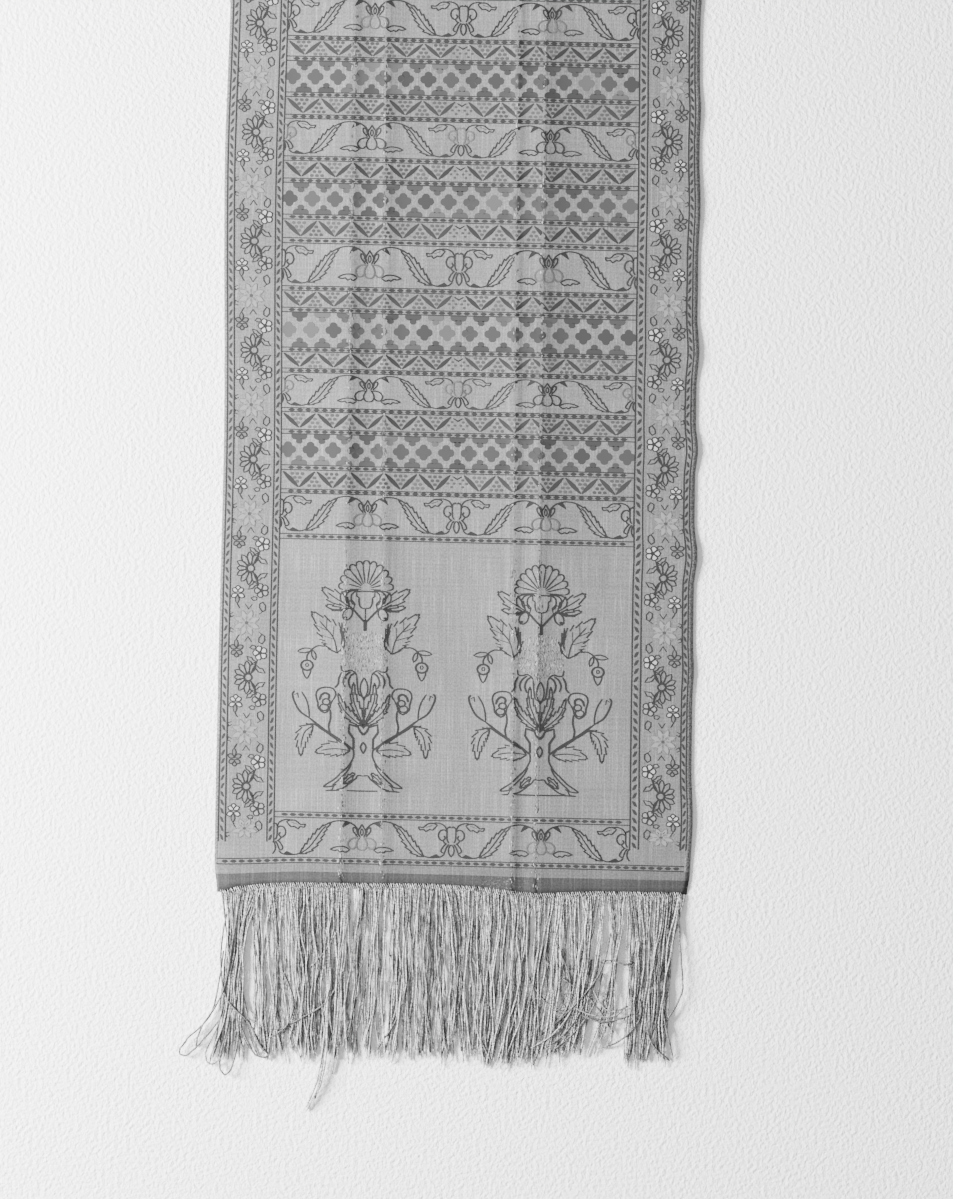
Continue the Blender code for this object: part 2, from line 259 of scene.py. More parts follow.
def bands():
    """Every zone along the cloth: kind, start, end, number of its group or -1."""
    found = []
    v = 0.0
    for kind, depth in END_BANDS:
        found.append((kind, v, v + depth, -1))
        v += depth
    for group in range(GROUPS):
        depths = SHOWN_GROUPS[group] if group < len(SHOWN_GROUPS) else USUAL_GROUP
        for kind, depth in zip(GROUP_KINDS, depths):
            found.append((kind, v, v + depth * PX, group))
            v += depth * PX
    far_start = LENGTH - sum(depth for _, depth in END_BANDS)
    found.append(("vine", v, far_start, GROUPS))
    v = far_start
    for kind, depth in reversed(END_BANDS):
        found.append((kind, v, v + depth, -2))
        v += depth
    return found


BANDS = bands()

# Anchors of the cloth's columns, and how many columns lie between each two.
COLUMN_STEPS = (1, 1, 8, 1, 12, 8, 22, 5, 16, 2, 8, 1, 1)


def column_anchors(v):
    """X of the columns that follow the zone lines and the creases."""
    left = [across(np.full_like(v, u), v) for u in LEFT_LINES]
    right = [across(np.full_like(v, u), v) for u in RIGHT_LINES]
    middle = [crease_x(crease, v) for crease in CREASES]
    return np.array([left_edge(v), *left, *middle, *right, right_edge(v)])


def column_shares():
    """Each column as (number of the anchor before it, share of the way to the next)."""
    columns = [(i, j / n) for i, n in enumerate(COLUMN_STEPS) for j in range(n)]
    columns.append((len(COLUMN_STEPS) - 1, 1.0))
    return np.array(columns)


def row_places():
    """Rows at every zone line, and between them no further apart than ROW_SPACING."""
    rows = []
    for _, start, end, _ in BANDS:
        steps = max(1, math.ceil((end - start) / ROW_SPACING))
        rows += [start + (end - start) * i / steps for i in range(steps)]
    return np.array(rows + [LENGTH])


COLUMNS = column_shares()
ROWS = row_places()


def cloth_grid():
    """X and height of the cloth's top for every row and column, with its small unevenness."""
    anchors = column_anchors(ROWS)
    index = COLUMNS[:, 0].astype(int)
    share = COLUMNS[:, 1][:, None]
    x = anchors[index] * (1.0 - share) + anchors[index + 1] * share
    v = np.broadcast_to(ROWS, x.shape)
    z = cloth_height(x, v)
    # soft cockles, strongest beside the two outer creases
    cockle = 0.10 * np.sin(x / 7.9 + 1.7 * np.sin(v / 61.0)) * np.sin(v / 23.0 + x / 31.0)
    cockle += 0.08 * np.sin(v / 11.3 + x / 9.1) * np.sin(x / 17.0 - v / 83.0)
    near = np.exp(-np.abs(x - crease_x(CREASES[3], v)) / 14.0)
    near += 0.6 * np.exp(-np.abs(x - crease_x(CREASES[0], v)) / 12.0)
    cockle *= 0.5 + near
    top = z + WALL + np.maximum(cockle, -z * 0.6)
    for crease, rise in zip(CREASES, FOLD_RISES):
        top = top + rise * np.clip(1.0 - np.abs(x - crease_x(crease, v)) / FOLD_REACH, 0.0, 1.0)
    from_edge = np.minimum.reduce([x - left_edge(v), v, LENGTH - v])
    top = top - EDGE_THIN * (1.0 - smooth(from_edge / EDGE_REACH))
    top = top - RIGHT_THIN * EDGE_THIN * (1.0 - smooth((right_edge(v) - x) / EDGE_REACH))
    return x.T, top.T


GRID_X, GRID_Z = cloth_grid()


def top_height(x, v):
    """Height of the cloth's top, read from its own grid."""
    anchors = column_anchors(v)
    after = np.clip((x[None] >= anchors).sum(0), 1, len(anchors) - 1)
    places = np.arange(len(x))
    low, high = anchors[after - 1, places], anchors[after, places]
    starts = np.concatenate([[0], np.cumsum(COLUMN_STEPS)])
    steps = np.array(COLUMN_STEPS)
    share = np.clip((x - low) / (high - low), 0.0, 1.0)
    column = starts[after - 1] + share * steps[after - 1]
    row = np.interp(v, ROWS, np.arange(len(ROWS)))
    c0 = np.clip(column.astype(int), 0, GRID_Z.shape[1] - 2)
    r0 = np.clip(row.astype(int), 0, GRID_Z.shape[0] - 2)
    c, r = column - c0, row - r0
    near_row = GRID_Z[r0, c0] * (1.0 - c) + GRID_Z[r0, c0 + 1] * c
    far_row = GRID_Z[r0 + 1, c0] * (1.0 - c) + GRID_Z[r0 + 1, c0 + 1] * c
    return near_row * (1.0 - r) + far_row * r


def hem_drop(x, v=0.0):
    """How far the cloth hangs below its straight lines at the near hem and its left corner."""
    hem = np.interp(x, *zip(*HEM_DROPS)) * (1.0 - smooth(v / HEM_DEPTH))
    corner = CORNER_DROP * smooth((CORNER_FROM - x) / CORNER_WIDTH)
    return hem + corner * (1.0 - smooth(v / CORNER_DEPTH))


def world(x, v, z):
    """World points in metres: the weft leans a little and the near hem is uneven."""
    y = v - LENGTH / 2.0 - WEFT_SKEW * x - hem_drop(x, v)
    return np.stack([x, y, z], axis=-1) * MM


# Materials

def principled(name, grey, roughness, sheen):
    material = bpy.data.materials.new(name)
    material.use_nodes = True
    shader = material.node_tree.nodes["Principled BSDF"]
    shader.inputs["Base Color"].default_value = (grey, grey, grey, 1.0)
    shader.inputs["Roughness"].default_value = roughness
    shader.inputs["Sheen Weight"].default_value = sheen
    shader.inputs["Sheen Roughness"].default_value = 0.4
    shader.inputs["Specular IOR Level"].default_value = 0.08
    return material, shader


def noise(tree, coordinates, scale, detail):
    """A noise texture stretched by scale (x, y, z) over the coordinates."""
    mapping = tree.nodes.new("ShaderNodeMapping")
    mapping.inputs["Scale"].default_value = scale
    texture = tree.nodes.new("ShaderNodeTexNoise")
    texture.inputs["Scale"].default_value = 1.0
    texture.inputs["Detail"].default_value = detail
    tree.links.new(coordinates, mapping.inputs["Vector"])
    tree.links.new(mapping.outputs["Vector"], texture.inputs["Vector"])
    return texture.outputs["Fac"]


def ramp(tree, value, from_range, to_range):
    node = tree.nodes.new("ShaderNodeMapRange")
    for key, number in zip(("From Min", "From Max", "To Min", "To Max"), from_range + to_range):
        node.inputs[key].default_value = number
    tree.links.new(value, node.inputs["Value"])
    return node.outputs["Result"]


def combine(tree, operation, first, second):
    node = tree.nodes.new("ShaderNodeMath")
    node.operation = operation
    for socket, value in zip(node.inputs, (first, second)):
        if isinstance(value, (int, float)):
            socket.default_value = value
        else:
            tree.links.new(value, socket)
    return node.outputs["Value"]


def object_places(material):
    """The material's node tree and the object's own coordinates in it."""
    tree = material.node_tree
    return tree, tree.nodes.new("ShaderNodeTexCoord").outputs["Object"]


def paint(tree, shader, tone):
    """Give the shader a grey that follows the tone."""
    colour = tree.nodes.new("ShaderNodeCombineColor")
    for channel in ("Red", "Green", "Blue"):
        tree.links.new(tone, colour.inputs[channel])
    tree.links.new(colour.outputs["Color"], shader.inputs["Base Color"])


def roughen(tree, shader, height, strength, distance):
    """Give the shader a relief that follows the height."""
    bump = tree.nodes.new("ShaderNodeBump")
    bump.inputs["Strength"].default_value = strength
    bump.inputs["Distance"].default_value = distance
    tree.links.new(height, bump.inputs["Height"])
    tree.links.new(bump.outputs["Normal"], shader.inputs["Normal"])


def silk(name, grey, speckle):
    """Woven silk: fine ribs, paler slubs, grain, soft patches, and painted light: paler to the left,
    towards the lamp, and darker to the right.
    """
    material, shader = principled(name, grey, 0.7, 0.05)
    tree, coordinates = object_places(material)
    warp = noise(tree, coordinates, (620.0, 9.0, 1.0), 1.0)
    weft = noise(tree, coordinates, (14.0, 640.0, 1.0), 1.0)
    slub = noise(tree, coordinates, (900.0, 34.0, 1.0), 0.0)
    patches = noise(tree, coordinates, (26.0, 15.0, 1.0), 4.0)
    grain = noise(tree, coordinates, (900.0, 700.0, 1.0), 1.0)
    tone = ramp(tree, warp, (0.38, 0.62), (0.93, 1.07))
    for value, spread in ((weft, 0.06), (patches, 0.06), (grain, 0.17 + speckle)):
        factor = ramp(tree, value, (0.38, 0.62), (1.0 - spread, 1.0 + spread))
        tone = combine(tree, "MULTIPLY", tone, factor)
    tone = combine(tree, "MULTIPLY", tone, ramp(tree, slub, (0.62, 0.70), (1.0, 1.3)))
    split = tree.nodes.new("ShaderNodeSeparateXYZ")
    tree.links.new(coordinates, split.inputs["Vector"])
    # painted light: the ground is paler on the left, where the light comes from, and darker to the
    # right
    painted_light_falloff = ramp(tree, split.outputs["X"], (-0.17, 0.17), (1.06, 0.90))
    tone = combine(tree, "MULTIPLY", tone, painted_light_falloff)
    paint(tree, shader, combine(tree, "MULTIPLY", tone, grey))
    roughen(tree, shader, combine(tree, "ADD", warp, grain), 0.3, 0.0003)
    return material


# Tones of the cloth's zones and of its pattern, as linear grey.
GROUND_TONES = (
    ("field", 0.124), ("guard", 0.114), ("zigzag", 0.119), ("quatrefoil", 0.124),
    ("border", 0.117), ("panel", 0.124), ("light", 0.094), ("stripe", 0.041), ("selvage", 0.075),
    ("edge", 0.180),
)
GROUND = {name: i for i, (name, _) in enumerate(GROUND_TONES)}
INK_TONES = (
    ("line", 0.020), ("dash", 0.024), ("stroke", 0.028), ("foil", 0.040), ("dot", 0.048),
    ("faint", 0.064), ("white", 0.29), ("pale", 0.170), ("leaf", 0.092), ("worn", 0.225),
    ("soft", 0.168),
)
# Each tone is woven in four shades; the last is the worn one.
SHADES = (0.80, 1.0, 1.25, 1.7)
INK = {name: i * len(SHADES) for i, (name, _) in enumerate(INK_TONES)}


def mesh_object(name, points, faces, materials, indices, shade):
    """A mesh that rides on the frame."""
    mesh = bpy.data.meshes.new(name)
    mesh.from_pydata(points.tolist(), [], faces.tolist())
    for material in materials:
        mesh.materials.append(material)
    mesh.polygons.foreach_set("material_index", np.asarray(indices, np.int32))
    mesh.polygons.foreach_set("use_smooth", np.array(np.broadcast_to(shade, len(faces))))
    mesh.update()
    piece = bpy.data.objects.new(name, mesh)
    bpy.context.scene.collection.objects.link(piece)
    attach(piece, "root")
    return piece


def zone_of(kind, column):
    """Ground of a cell of the cloth from its band and its column."""
    edges = np.cumsum(COLUMN_STEPS)
    if kind in ("stripe", "light"):
        return GROUND[kind]
    if column < edges[0]:
        return GROUND["selvage"]
    if column >= edges[-2]:
        return GROUND["edge"]
    if kind == "guard_full":
        return GROUND["guard"]
    if column < edges[1] or column >= edges[-3]:
        return GROUND["guard"]
    if column < edges[2] or column >= edges[-4]:
        return GROUND["border"]
    if column < edges[3] or column >= edges[-5]:
        return GROUND["guard"]
    return GROUND.get(kind, GROUND["field"])


def build_cloth():
    """The thin shell: its top follows the grid, its underside lies a thread's depth lower."""
    rows, columns = GRID_X.shape
    v = np.broadcast_to(ROWS[:, None], GRID_X.shape)
    top = world(GRID_X, v, GRID_Z).reshape(-1, 3)
    under = world(GRID_X, v, np.maximum(GRID_Z - SHELL, 0.0)).reshape(-1, 3)
    index = np.arange(rows * columns).reshape(rows, columns)
    a, b = index[:-1, :-1].ravel(), index[:-1, 1:].ravel()
    c, d = index[1:, 1:].ravel(), index[1:, :-1].ravel()
    quads = np.stack([a, b, c, d], axis=1)
    size = rows * columns
    below = quads[:, ::-1] + size
    loop = np.concatenate([index[0, :-1], index[:-1, -1], index[-1, :0:-1], index[:0:-1, 0]])
    following = np.roll(loop, -1)
    rim = np.stack([loop, loop + size, following + size, following], axis=1)
    kinds = []
    band_starts = [band[1] for band in BANDS]
    for row in range(rows - 1):
        middle = (ROWS[row] + ROWS[row + 1]) / 2.0
        kind = BANDS[int(np.searchsorted(band_starts, middle)) - 1][0]
        in_border = BORDER_STARTS < middle < LENGTH - BORDER_STARTS
        for column in range(columns - 1):
            zone = zone_of(kind, column)
            inside = zone in (GROUND["border"], GROUND["guard"]) and kind != "guard_full"
            if not in_border and inside and kind == "vine":
                zone = GROUND["border"]
            kinds.append(zone)
    kinds = np.array(kinds)
    cloth = mesh_object(
        "cloth",
        np.concatenate([top, under]),
        np.concatenate([quads, below, rim]),
        [silk("silk_" + name, grey, 0.25 if name in ("selvage", "edge") else 0.0)
         for name, grey in GROUND_TONES],
        np.concatenate([kinds, kinds, np.full(len(rim), GROUND["edge"])]),
        shade=np.arange(2 * len(quads) + len(rim)) < 2 * len(quads),
    )
    return cloth


# Drawing of flat shapes

class Drawing:
    """Filled shapes: corners, how far each lies above the cloth, triangles and their tones."""

    def __init__(self):
        self.corners = []
        self.rises = []
        self.faces = []
        self.tones = []
        self.count = 0

    def add(self, corners, faces, tones, rises=None):
        corners = np.asarray(corners, float).reshape(-1, 2)
        faces = np.asarray(faces, int).reshape(-1, 3)
        if rises is None:
            rises = np.full(len(corners), 0.006 * (len(self.corners) % 12))
        self.corners.append(corners)
        self.rises.append(rises)
        self.faces.append(faces + self.count)
        self.tones.append(np.broadcast_to(np.asarray(tones), len(faces)))
        self.count += len(corners)

    def arrays(self):
        parts = (self.corners, self.rises, self.faces, self.tones)
        return tuple(np.concatenate(part) for part in parts)

    def stamp(self, motif, u, v, across_scale, along_scale, shade=1):
        """Copies of a motif at the places (u, v); a negative scale mirrors it."""
        corners, rises, faces, tones = motif.arrays()
        u, v, across_scale, along_scale, shade = np.broadcast_arrays(
            *(np.atleast_1d(np.asarray(a, float))
              for a in (u, v, across_scale, along_scale, shade))
        )
        for i in range(len(u)):
            placed = corners * (across_scale[i], along_scale[i]) + (u[i], v[i])
            turned = faces if across_scale[i] * along_scale[i] > 0.0 else faces[:, ::-1]
            self.add(placed, turned, tones + (int(shade[i]) - 1), rises)

    def polygon(self, points, tone, rise=None):
        """A filled shape that its middle can see all of, with a ring inside if it is large."""
        points = np.asarray(points, float)
        n = len(points)
        middle = points.mean(0)
        following = np.roll(np.arange(n), -1)
        if np.abs(points - middle).max() > 3.2:
            inner = middle + (points - middle) * 0.5
            i = np.arange(n)
            faces = np.vstack([
                np.stack([i, following, following + n], axis=1),
                np.stack([i, following + n, i + n], axis=1),
                np.stack([np.full(n, 2 * n), i + n, following + n], axis=1),
            ])
            points = np.vstack([points, inner])
        else:
            faces = np.stack([np.full(n, n), np.arange(n), following], axis=1)
        corners = np.vstack([points, middle])
        rises = None if rise is None else np.full(len(corners), rise)
        self.add(corners, faces, INK[tone] + 1, rises)

    def line(self, points, width, tone="line", ends=(0.55, 0.55), closed=False):
        """A line along the points."""
        points = np.asarray(points, float)
        if closed:
            points = np.vstack([points, points[:1]])
            way = np.roll(points[:-1], -1, 0) - np.roll(points[:-1], 1, 0)
            way = np.vstack([way, way[:1]])
        else:
            way = np.gradient(points, axis=0)
        side = sideways(way)
        half = np.full((len(points), 1), width / 2.0)
        if not closed:
            half[0] *= ends[0]
            half[-1] *= ends[1]
        corners = np.vstack([points + side * half, points - side * half])
        rises = np.full(len(corners), 0.08 + 0.004 * (len(self.corners) % 10))
        self.add(corners, strip_faces(len(points)), INK[tone] + 1, rises)

    def strokes(self, *rows):
        """Curved lines, each from a row: width, pieces between two points, points."""
        for width, pieces, *points in rows:
            self.line(curve(points, pieces), width)

    def blob(self, x, y, rx, ry, tone, sides, turn=0.0):
        self.polygon(oval(x, y, rx, ry, sides, turn), tone)

    def ring(self, x, y, rx, ry, width, sides):
        self.line(oval(x, y, rx, ry, sides), width, closed=True)

    def petal(self, x, y, angle, length, width, line, fill=None, shape="pointed", tone="line"):
        """An outlined petal from (x, y) outwards."""
        outline = petal_outline(x, y, angle, length, width, PETALS[shape])
        if fill:
            self.polygon(outline, fill)
        self.line(outline, line, tone, closed=True)

    def leaf(self, midline, widths, teeth, line, depth=0.36):
        """A toothed leaf along a midline, with its rib."""
        middle = curve(midline, 5)
        side = sideways(np.gradient(middle, axis=0))
        t = np.linspace(0.0, 1.0, len(middle))
        for sign, width in zip((1.0, -1.0), widths):
            at, reach = [0.0], [0.0]
            for k in range(teeth):
                for place, share in ((k + 0.95, 1.0), (k + 0.80, 1.0 - depth)):
                    where = min(place / teeth * 0.97, 0.97)
                    swell = math.sin(math.pi * min((k + 0.7) / teeth, 0.96) ** 0.72) ** 0.8
                    at.append(where)
                    reach.append(width * share * swell)
            at, reach = np.array(at + [1.0]), np.array(reach + [0.0])
            edge = np.stack([np.interp(at, t, middle[:, k]) for k in (0, 1)], axis=1)
            out = np.stack([np.interp(at, t, side[:, k]) for k in (0, 1)], axis=1)
            self.line(edge + out * reach[:, None] * sign, line, ends=(1.0, 1.0))
        self.line(middle[: int(len(middle) * 0.86)], line * 0.8)


PETALS = {
    "pointed": ((0.0, 0.0), (0.18, 0.52), (0.42, 0.92), (0.62, 1.0), (0.84, 0.62), (1.0, 0.0)),
    "even": ((0.0, 0.0), (0.22, 0.7), (0.5, 1.0), (0.78, 0.7), (1.0, 0.0)),
}


def sideways(way):
    """Unit vectors to the left of each step of the way."""
    way = way / np.maximum(np.linalg.norm(way, axis=1, keepdims=True), 1e-9)
    return np.stack([-way[:, 1], way[:, 0]], axis=1)


def strip_faces(n):
    """Triangles of the strip between two rows of n points."""
    i = np.arange(n - 1)
    return np.vstack([
        np.stack([i, i + n, i + n + 1], axis=1), np.stack([i, i + n + 1, i + 1], axis=1)
    ])


def oval(x, y, rx, ry, sides, turn=0.0):
    angles = np.linspace(0.0, 2.0 * np.pi, sides, endpoint=False)
    dx, dy = rx * np.cos(angles), ry * np.sin(angles)
    c, s = math.cos(turn), math.sin(turn)
    return np.stack([x + dx * c - dy * s, y + dx * s + dy * c], axis=1)


def petal_outline(x, y, angle, length, width, profile):
    t, half = np.array(profile).T
    along, half = t * length, half * width / 2.0
    there = np.stack([along, half], axis=1)
    back = np.stack([along[-2:0:-1], -half[-2:0:-1]], axis=1)
    shape = np.vstack([there, back])
    c, s = math.cos(math.radians(angle)), math.sin(math.radians(angle))
    return shape @ np.array([[c, s], [-s, c]]) + (x, y)


def curve(points, pieces):
    """A smooth curve through the points."""
    p = np.asarray(points, float)
    p = np.vstack([2.0 * p[0] - p[1], p, 2.0 * p[-1] - p[-2]])
    t = np.linspace(0.0, 1.0, pieces, endpoint=False)[:, None]
    parts = []
    for a, b, c, d in zip(p, p[1:], p[2:], p[3:]):
        parts.append(
            0.5 * (2.0 * b + (c - a) * t + (2.0 * a - 5.0 * b + 4.0 * c - d) * t ** 2
                   + (3.0 * b - a - 3.0 * c + d) * t ** 3)
        )
    return np.vstack(parts + [p[-2:-1]])


# Motifs, in drawing units; y is downwards from the top of a band.
# Their points were typed in, read off enlarged views of the photograph.

LINE = 1.3


def cup_flower_half(full):
    """Right half of the flower in the middle of a vine band."""
    m = Drawing()
    tone = "line" if full else "faint"
    m.line(curve([(0, 6.6), (2.2, 6.4), (4.2, 7.6), (4.4, 12), (4.1, 19), (2.4, 22.5)], 3),
           LINE, tone)
    m.line([(0.4, 6.6), (1.6, 5.2), (2.6, 6.2), (3.8, 5.6)], 1, tone)
    m.line(curve([(4.4, 10.8), (6.8, 9), (10.6, 9.8), (12.8, 13.5), (12.2, 17.5), (9, 20),
                  (6.2, 17.6), (7.4, 14.8)], 3), LINE * 1.1, tone)
    m.line(curve([(8.4, 20), (6.6, 22.4), (4.4, 23.5)], 3), LINE, tone)
    m.strokes(
        (LINE, 3, (0, 24), (1.9, 26), (2.8, 30), (2.1, 33.5), (0, 36.6)),
        (LINE, 3, (2.4, 23.5), (4.8, 27), (6.9, 33.2)),
        (LINE, 3, (4.8, 22.8), (8.2, 26.4), (10.2, 31), (6.9, 33.2)),
    )
    return m


def bud_flower_half(full):
    """Right half of the flower between two leaves of a vine band."""
    m = Drawing()
    m.strokes(
        (LINE, 3, (0, 5), (1.7, 8.4), (3.7, 11.6), (3.4, 15.2), (1.8, 18.2)),
        (1, 2, (0, 9.5), (1, 11.5), (1.3, 14.5), (0, 17)),
        (LINE, 3, (8.8, 8.2), (6, 9.4), (4.4, 12.4), (4.2, 16.2)),
        (LINE, 3, (8.8, 8.2), (8.6, 12.2), (6.2, 15.6), (4, 18.2)),
    )
    m.line([(5.2, 10.4), (5.6, 13.6)], 0.9)
    tone = "line" if full else "faint"
    m.line(curve([(1.8, 18.2), (4.2, 22), (5.2, 26.5), (3.6, 30.6), (0, 31.9)], 3), LINE, tone)
    m.line(curve([(3.4, 19.4), (7.4, 19.2), (11.8, 21.4), (13.8, 25.4), (12, 29.8),
                  (8.2, 30.4), (5.4, 27.8)], 3), LINE * 1.15, tone)
    m.strokes(
        (LINE, 3, (12, 31.4), (16.5, 28.6), (22, 28.2), (27, 29.2), (31.5, 31.4)),
        (LINE, 2, (12, 31.4), (16, 34.2), (19, 32.8), (21.5, 34), (24, 31.8), (27, 32.6),
         (31.5, 31.4)),
    )
    return m


def vine_quarter():
    """Stems and leaves between the two flowers of a vine band, a quarter of its width."""
    m = Drawing()
    # leaf that curls from the top of the middle flower
    m.strokes(
        (LINE, 3, (4.6, 9), (7, 4.8), (10.5, 2.8), (15, 2), (20.5, 3)),
        (LINE, 3, (14, 4.2), (18.5, 2.4), (23.5, 3.2), (28, 6.8), (33, 6.2)),
        (LINE, 2, (33, 6.2), (31.4, 9.6), (27.6, 8.8), (25.6, 11.2), (21.7, 8.8), (18.6, 9.4),
         (14, 4.2)),
    )
    m.line([(19, 4.6), (25, 6.8)], 0.8)
    # stem along the foot with its bract
    m.line(curve([(6.6, 33.6), (10.5, 36.6), (17, 37.6), (24, 37.2), (30, 35)], 3), LINE)
    m.polygon([(11, 36.6), (14.6, 33.8), (21.6, 37), (15, 37.4)], "line")
    # toothed leaf
    m.leaf([(27.5, 36.8), (36.5, 30), (44, 20), (50.5, 10.6), (58.5, 4)], (6, 6), 7, LINE)
    # stem over the top to the bud, with its dark bract
    m.line(curve([(53, 6.2), (60, 3), (68, 1.8), (75, 3), (81, 6), (85.4, 11)], 3), LINE)
    m.polygon([(72.4, 2.4), (79, 3.4), (74.2, 6.2), (68.6, 9.6), (70.2, 5.8)], "line")
    return m


def quatrefoil(part):
    """A filled four-lobed shape: whole, or only the part below its top line."""
    m = Drawing()
    offset, radius = 4.2, 4.0
    outline = []
    for lobe in range(4):
        middle = math.radians(90 * lobe)
        for degrees in (-92, -57, -20, 20, 57, 92):
            turn = middle + math.radians(degrees)
            outline.append((offset * math.cos(middle) + radius * math.cos(turn),
                            offset * math.sin(middle) + radius * math.sin(turn)))
        notch = middle + math.radians(45)
        outline.append((radius * math.cos(notch), radius * math.sin(notch)))
    outline = np.array(outline)
    if part == "half":
        outline = outline[outline[:, 1] > -1.5]
        outline = outline[np.argsort(np.arctan2(outline[:, 1] + 1.6, outline[:, 0]))]
        outline = np.vstack([outline, [(-7.6, -1.5)], [(7.6, -1.5)]])
    m.polygon(outline, "foil")
    return m


def zigzag_band():
    """Strokes of one zigzag band, right half; y from the band's top, ZIGZAG_DEPTH deep."""
    m = Drawing()
    edges = [(7.7, 20.8)]
    x = 23.6
    wide = True
    while x < 174.0:
        edges.append((x, min(x + 13.6, 177.0)))
        x += 17.6 if wide else 16.4
        wide = not wide
    for number, (start, end) in enumerate(edges):
        top, foot = 1.2, 16.4
        start, end = start - 0.9, end + 0.9
        ys = (foot, top) if number % 2 else (top, foot)
        t = np.linspace(0, 1, 5)
        line = np.stack([start + (end - start) * t, ys[0] + (ys[1] - ys[0]) * t], axis=1)
        way = np.array([end - start, ys[1] - ys[0]])
        side = np.array([-way[1], way[0]]) / np.linalg.norm(way)
        half = 2.2 * np.sin(np.pi * (0.08 + 0.84 * t))[:, None]
        corners = np.vstack([line + side * half, line - side * half])
        m.add(corners, strip_faces(len(line)), INK["stroke"] + 1)
    return m


def zigzag_dots():
    m = Drawing()
    for row, count in enumerate((3, 2, 1)):
        for k in range(count):
            m.blob((k - (count - 1) / 2) * 5.1, 3.9 * (1 - row), 1.95, 1.6, "dot", 7)
    return m


def daisy():
    """Nine-petalled flower of the border with its leaves; x outwards from the inner line."""
    m = Drawing()
    for k in range(9):
        angle = -112.0 + 28.0 * k
        rad = math.radians(angle)
        length = 9.6 + 3.4 * abs(math.sin(rad))
        m.petal(21 + 4 * math.cos(rad), 3.6 * math.sin(rad), angle, length, 5.4, 1.1)
    m.ring(21, 0, 3.9, 3.5, LINE * 1.1, sides=9)
    for sign in (-1, 1):
        for outline in (((15.6, 11), (12.2, 11.8), (9.8, 9.2), (7, 9.2), (4.2, 4.4),
                         (8.4, 5), (11, 5.6), (13, 8.2)),
                        ((13.6, 12.6), (17.2, 13), (18.8, 16), (21.2, 17), (22.6, 21),
                         (18, 19.8), (16.2, 17.2), (14, 16.2))):
            m.line([(x, y * sign) for x, y in outline], 1.15, closed=True)
        m.line([(18.6, 3 * sign), (16.6, 8 * sign), (14, 12.4 * sign), (12.2, 17.4 * sign)], 1.4)
    return m


def five_petals(fill):
    m = Drawing()
    for k in range(5):
        a = math.radians(-70 + 72 * k)
        m.blob(4.2 * math.cos(a), 4.2 * math.sin(a), 2.9, 2.9, fill, 7, a)
        m.line(oval(4.2 * math.cos(a), 4.2 * math.sin(a), 3.1, 3.1, 7, a), 1.2, closed=True)
    m.blob(0, 0, 1.3, 1.3, "line", 6)
    return m


def blossom(fill):
    """Small stemmed blossom; its stem runs towards +y."""
    m = Drawing()
    for x, y, angle, length in ((0, -3.4, -90, 4.8), (0, -2, -28, 6.2),
                                (0, -2, 208, 6.2), (0.3, 0.6, 22, 6.6),
                                (-0.3, 0.6, 158, 6.6)):
        m.petal(x, y, angle, length, 4.4, 1.15, fill)
    m.petal(0.3, 1.8, 88, 8, 3.8, 1.05, "leaf", "even")
    m.line(curve([(0.5, 9.6), (-0.6, 12), (-2.4, 14.6)], 2), 1.1)
    return m


def small_marks():
    """Diamond leaf, bud and v mark of the border; y from the daisy towards the rosette."""
    m = Drawing()
    m.line([(8, 33.6), (11.2, 35.6), (11, 39.4), (8.2, 43.2), (5.4, 41.6), (5.2, 37)],
           1.15, closed=True)
    m.line([(8.2, 43.2), (11.4, 45.6)], 1)
    m.line([(13.8, 29), (17, 28.2), (20, 29.6), (17.6, 32.2), (14.6, 31.6)], 1.05, closed=True)
    m.line([(18.4, 35.6), (22, 40.8), (25.4, 35.6)], 1.2)
    m.line([(37, 44.6), (40.6, 46), (39.4, 49)], 1.05)
    m.line([(36.4, 47.4), (40, 49.6)], 1.05)
    return m


def rosette():
    """A faint, worn eight-petalled flower."""
    m = Drawing()
    rand = random.Random(41)
    for k in range(8):
        m.petal(0, 0, 45 * k + 22.5, 13.6, 5.6, 0.7, "soft", "even", "leaf")
        m.petal(0, 0, 45 * k, 8, 3.4, 0.8, None, "even", "soft")
    for _ in range(40):
        angle, reach = rand.uniform(0, 6.28), rand.uniform(2.5, 13)
        m.blob(reach * math.cos(angle), reach * math.sin(angle), rand.uniform(0.4, 1), 0.7,
               rand.choice(("soft", "pale", "leaf")), 5)
    m.polygon(oval(0, 0, 2, 1.8, 6), "foil", 0.13)
    return m


def fan_half(m):
    """Right half of the fan of round-ended petals at the top of a plant."""
    half = math.radians(8.6)
    for k in range(6):
        angle = math.radians(-90 + 17.2 * k)

        def at(turn, reach):
            return (reach * math.cos(angle + turn), 28.0 + reach * 1.04 * math.sin(angle + turn))

        rim = [(-0.92, 23.4), (-0.6, 26.2), (0, 27.2), (0.6, 26.2), (0.92, 23.4)]
        rim = rim[2:] if k == 0 else rim
        m.line(curve([at(share * half, reach) for share, reach in rim], 2), LINE * 1.1)
        m.line([at(half, 23.6), at(half * 1.1, 14.0), at(half * 1.6, 5.0)], LINE)
    # drooping petals at the side
    for k in range(3):
        x = 25.0 - 5.4 * k
        m.line(curve([(8 - k, 30 + k), (x - 5, 31), (x, 35), (x - 0.6, 41 + k),
                      (x - 3.6, 43.0 + k)], 3), LINE)


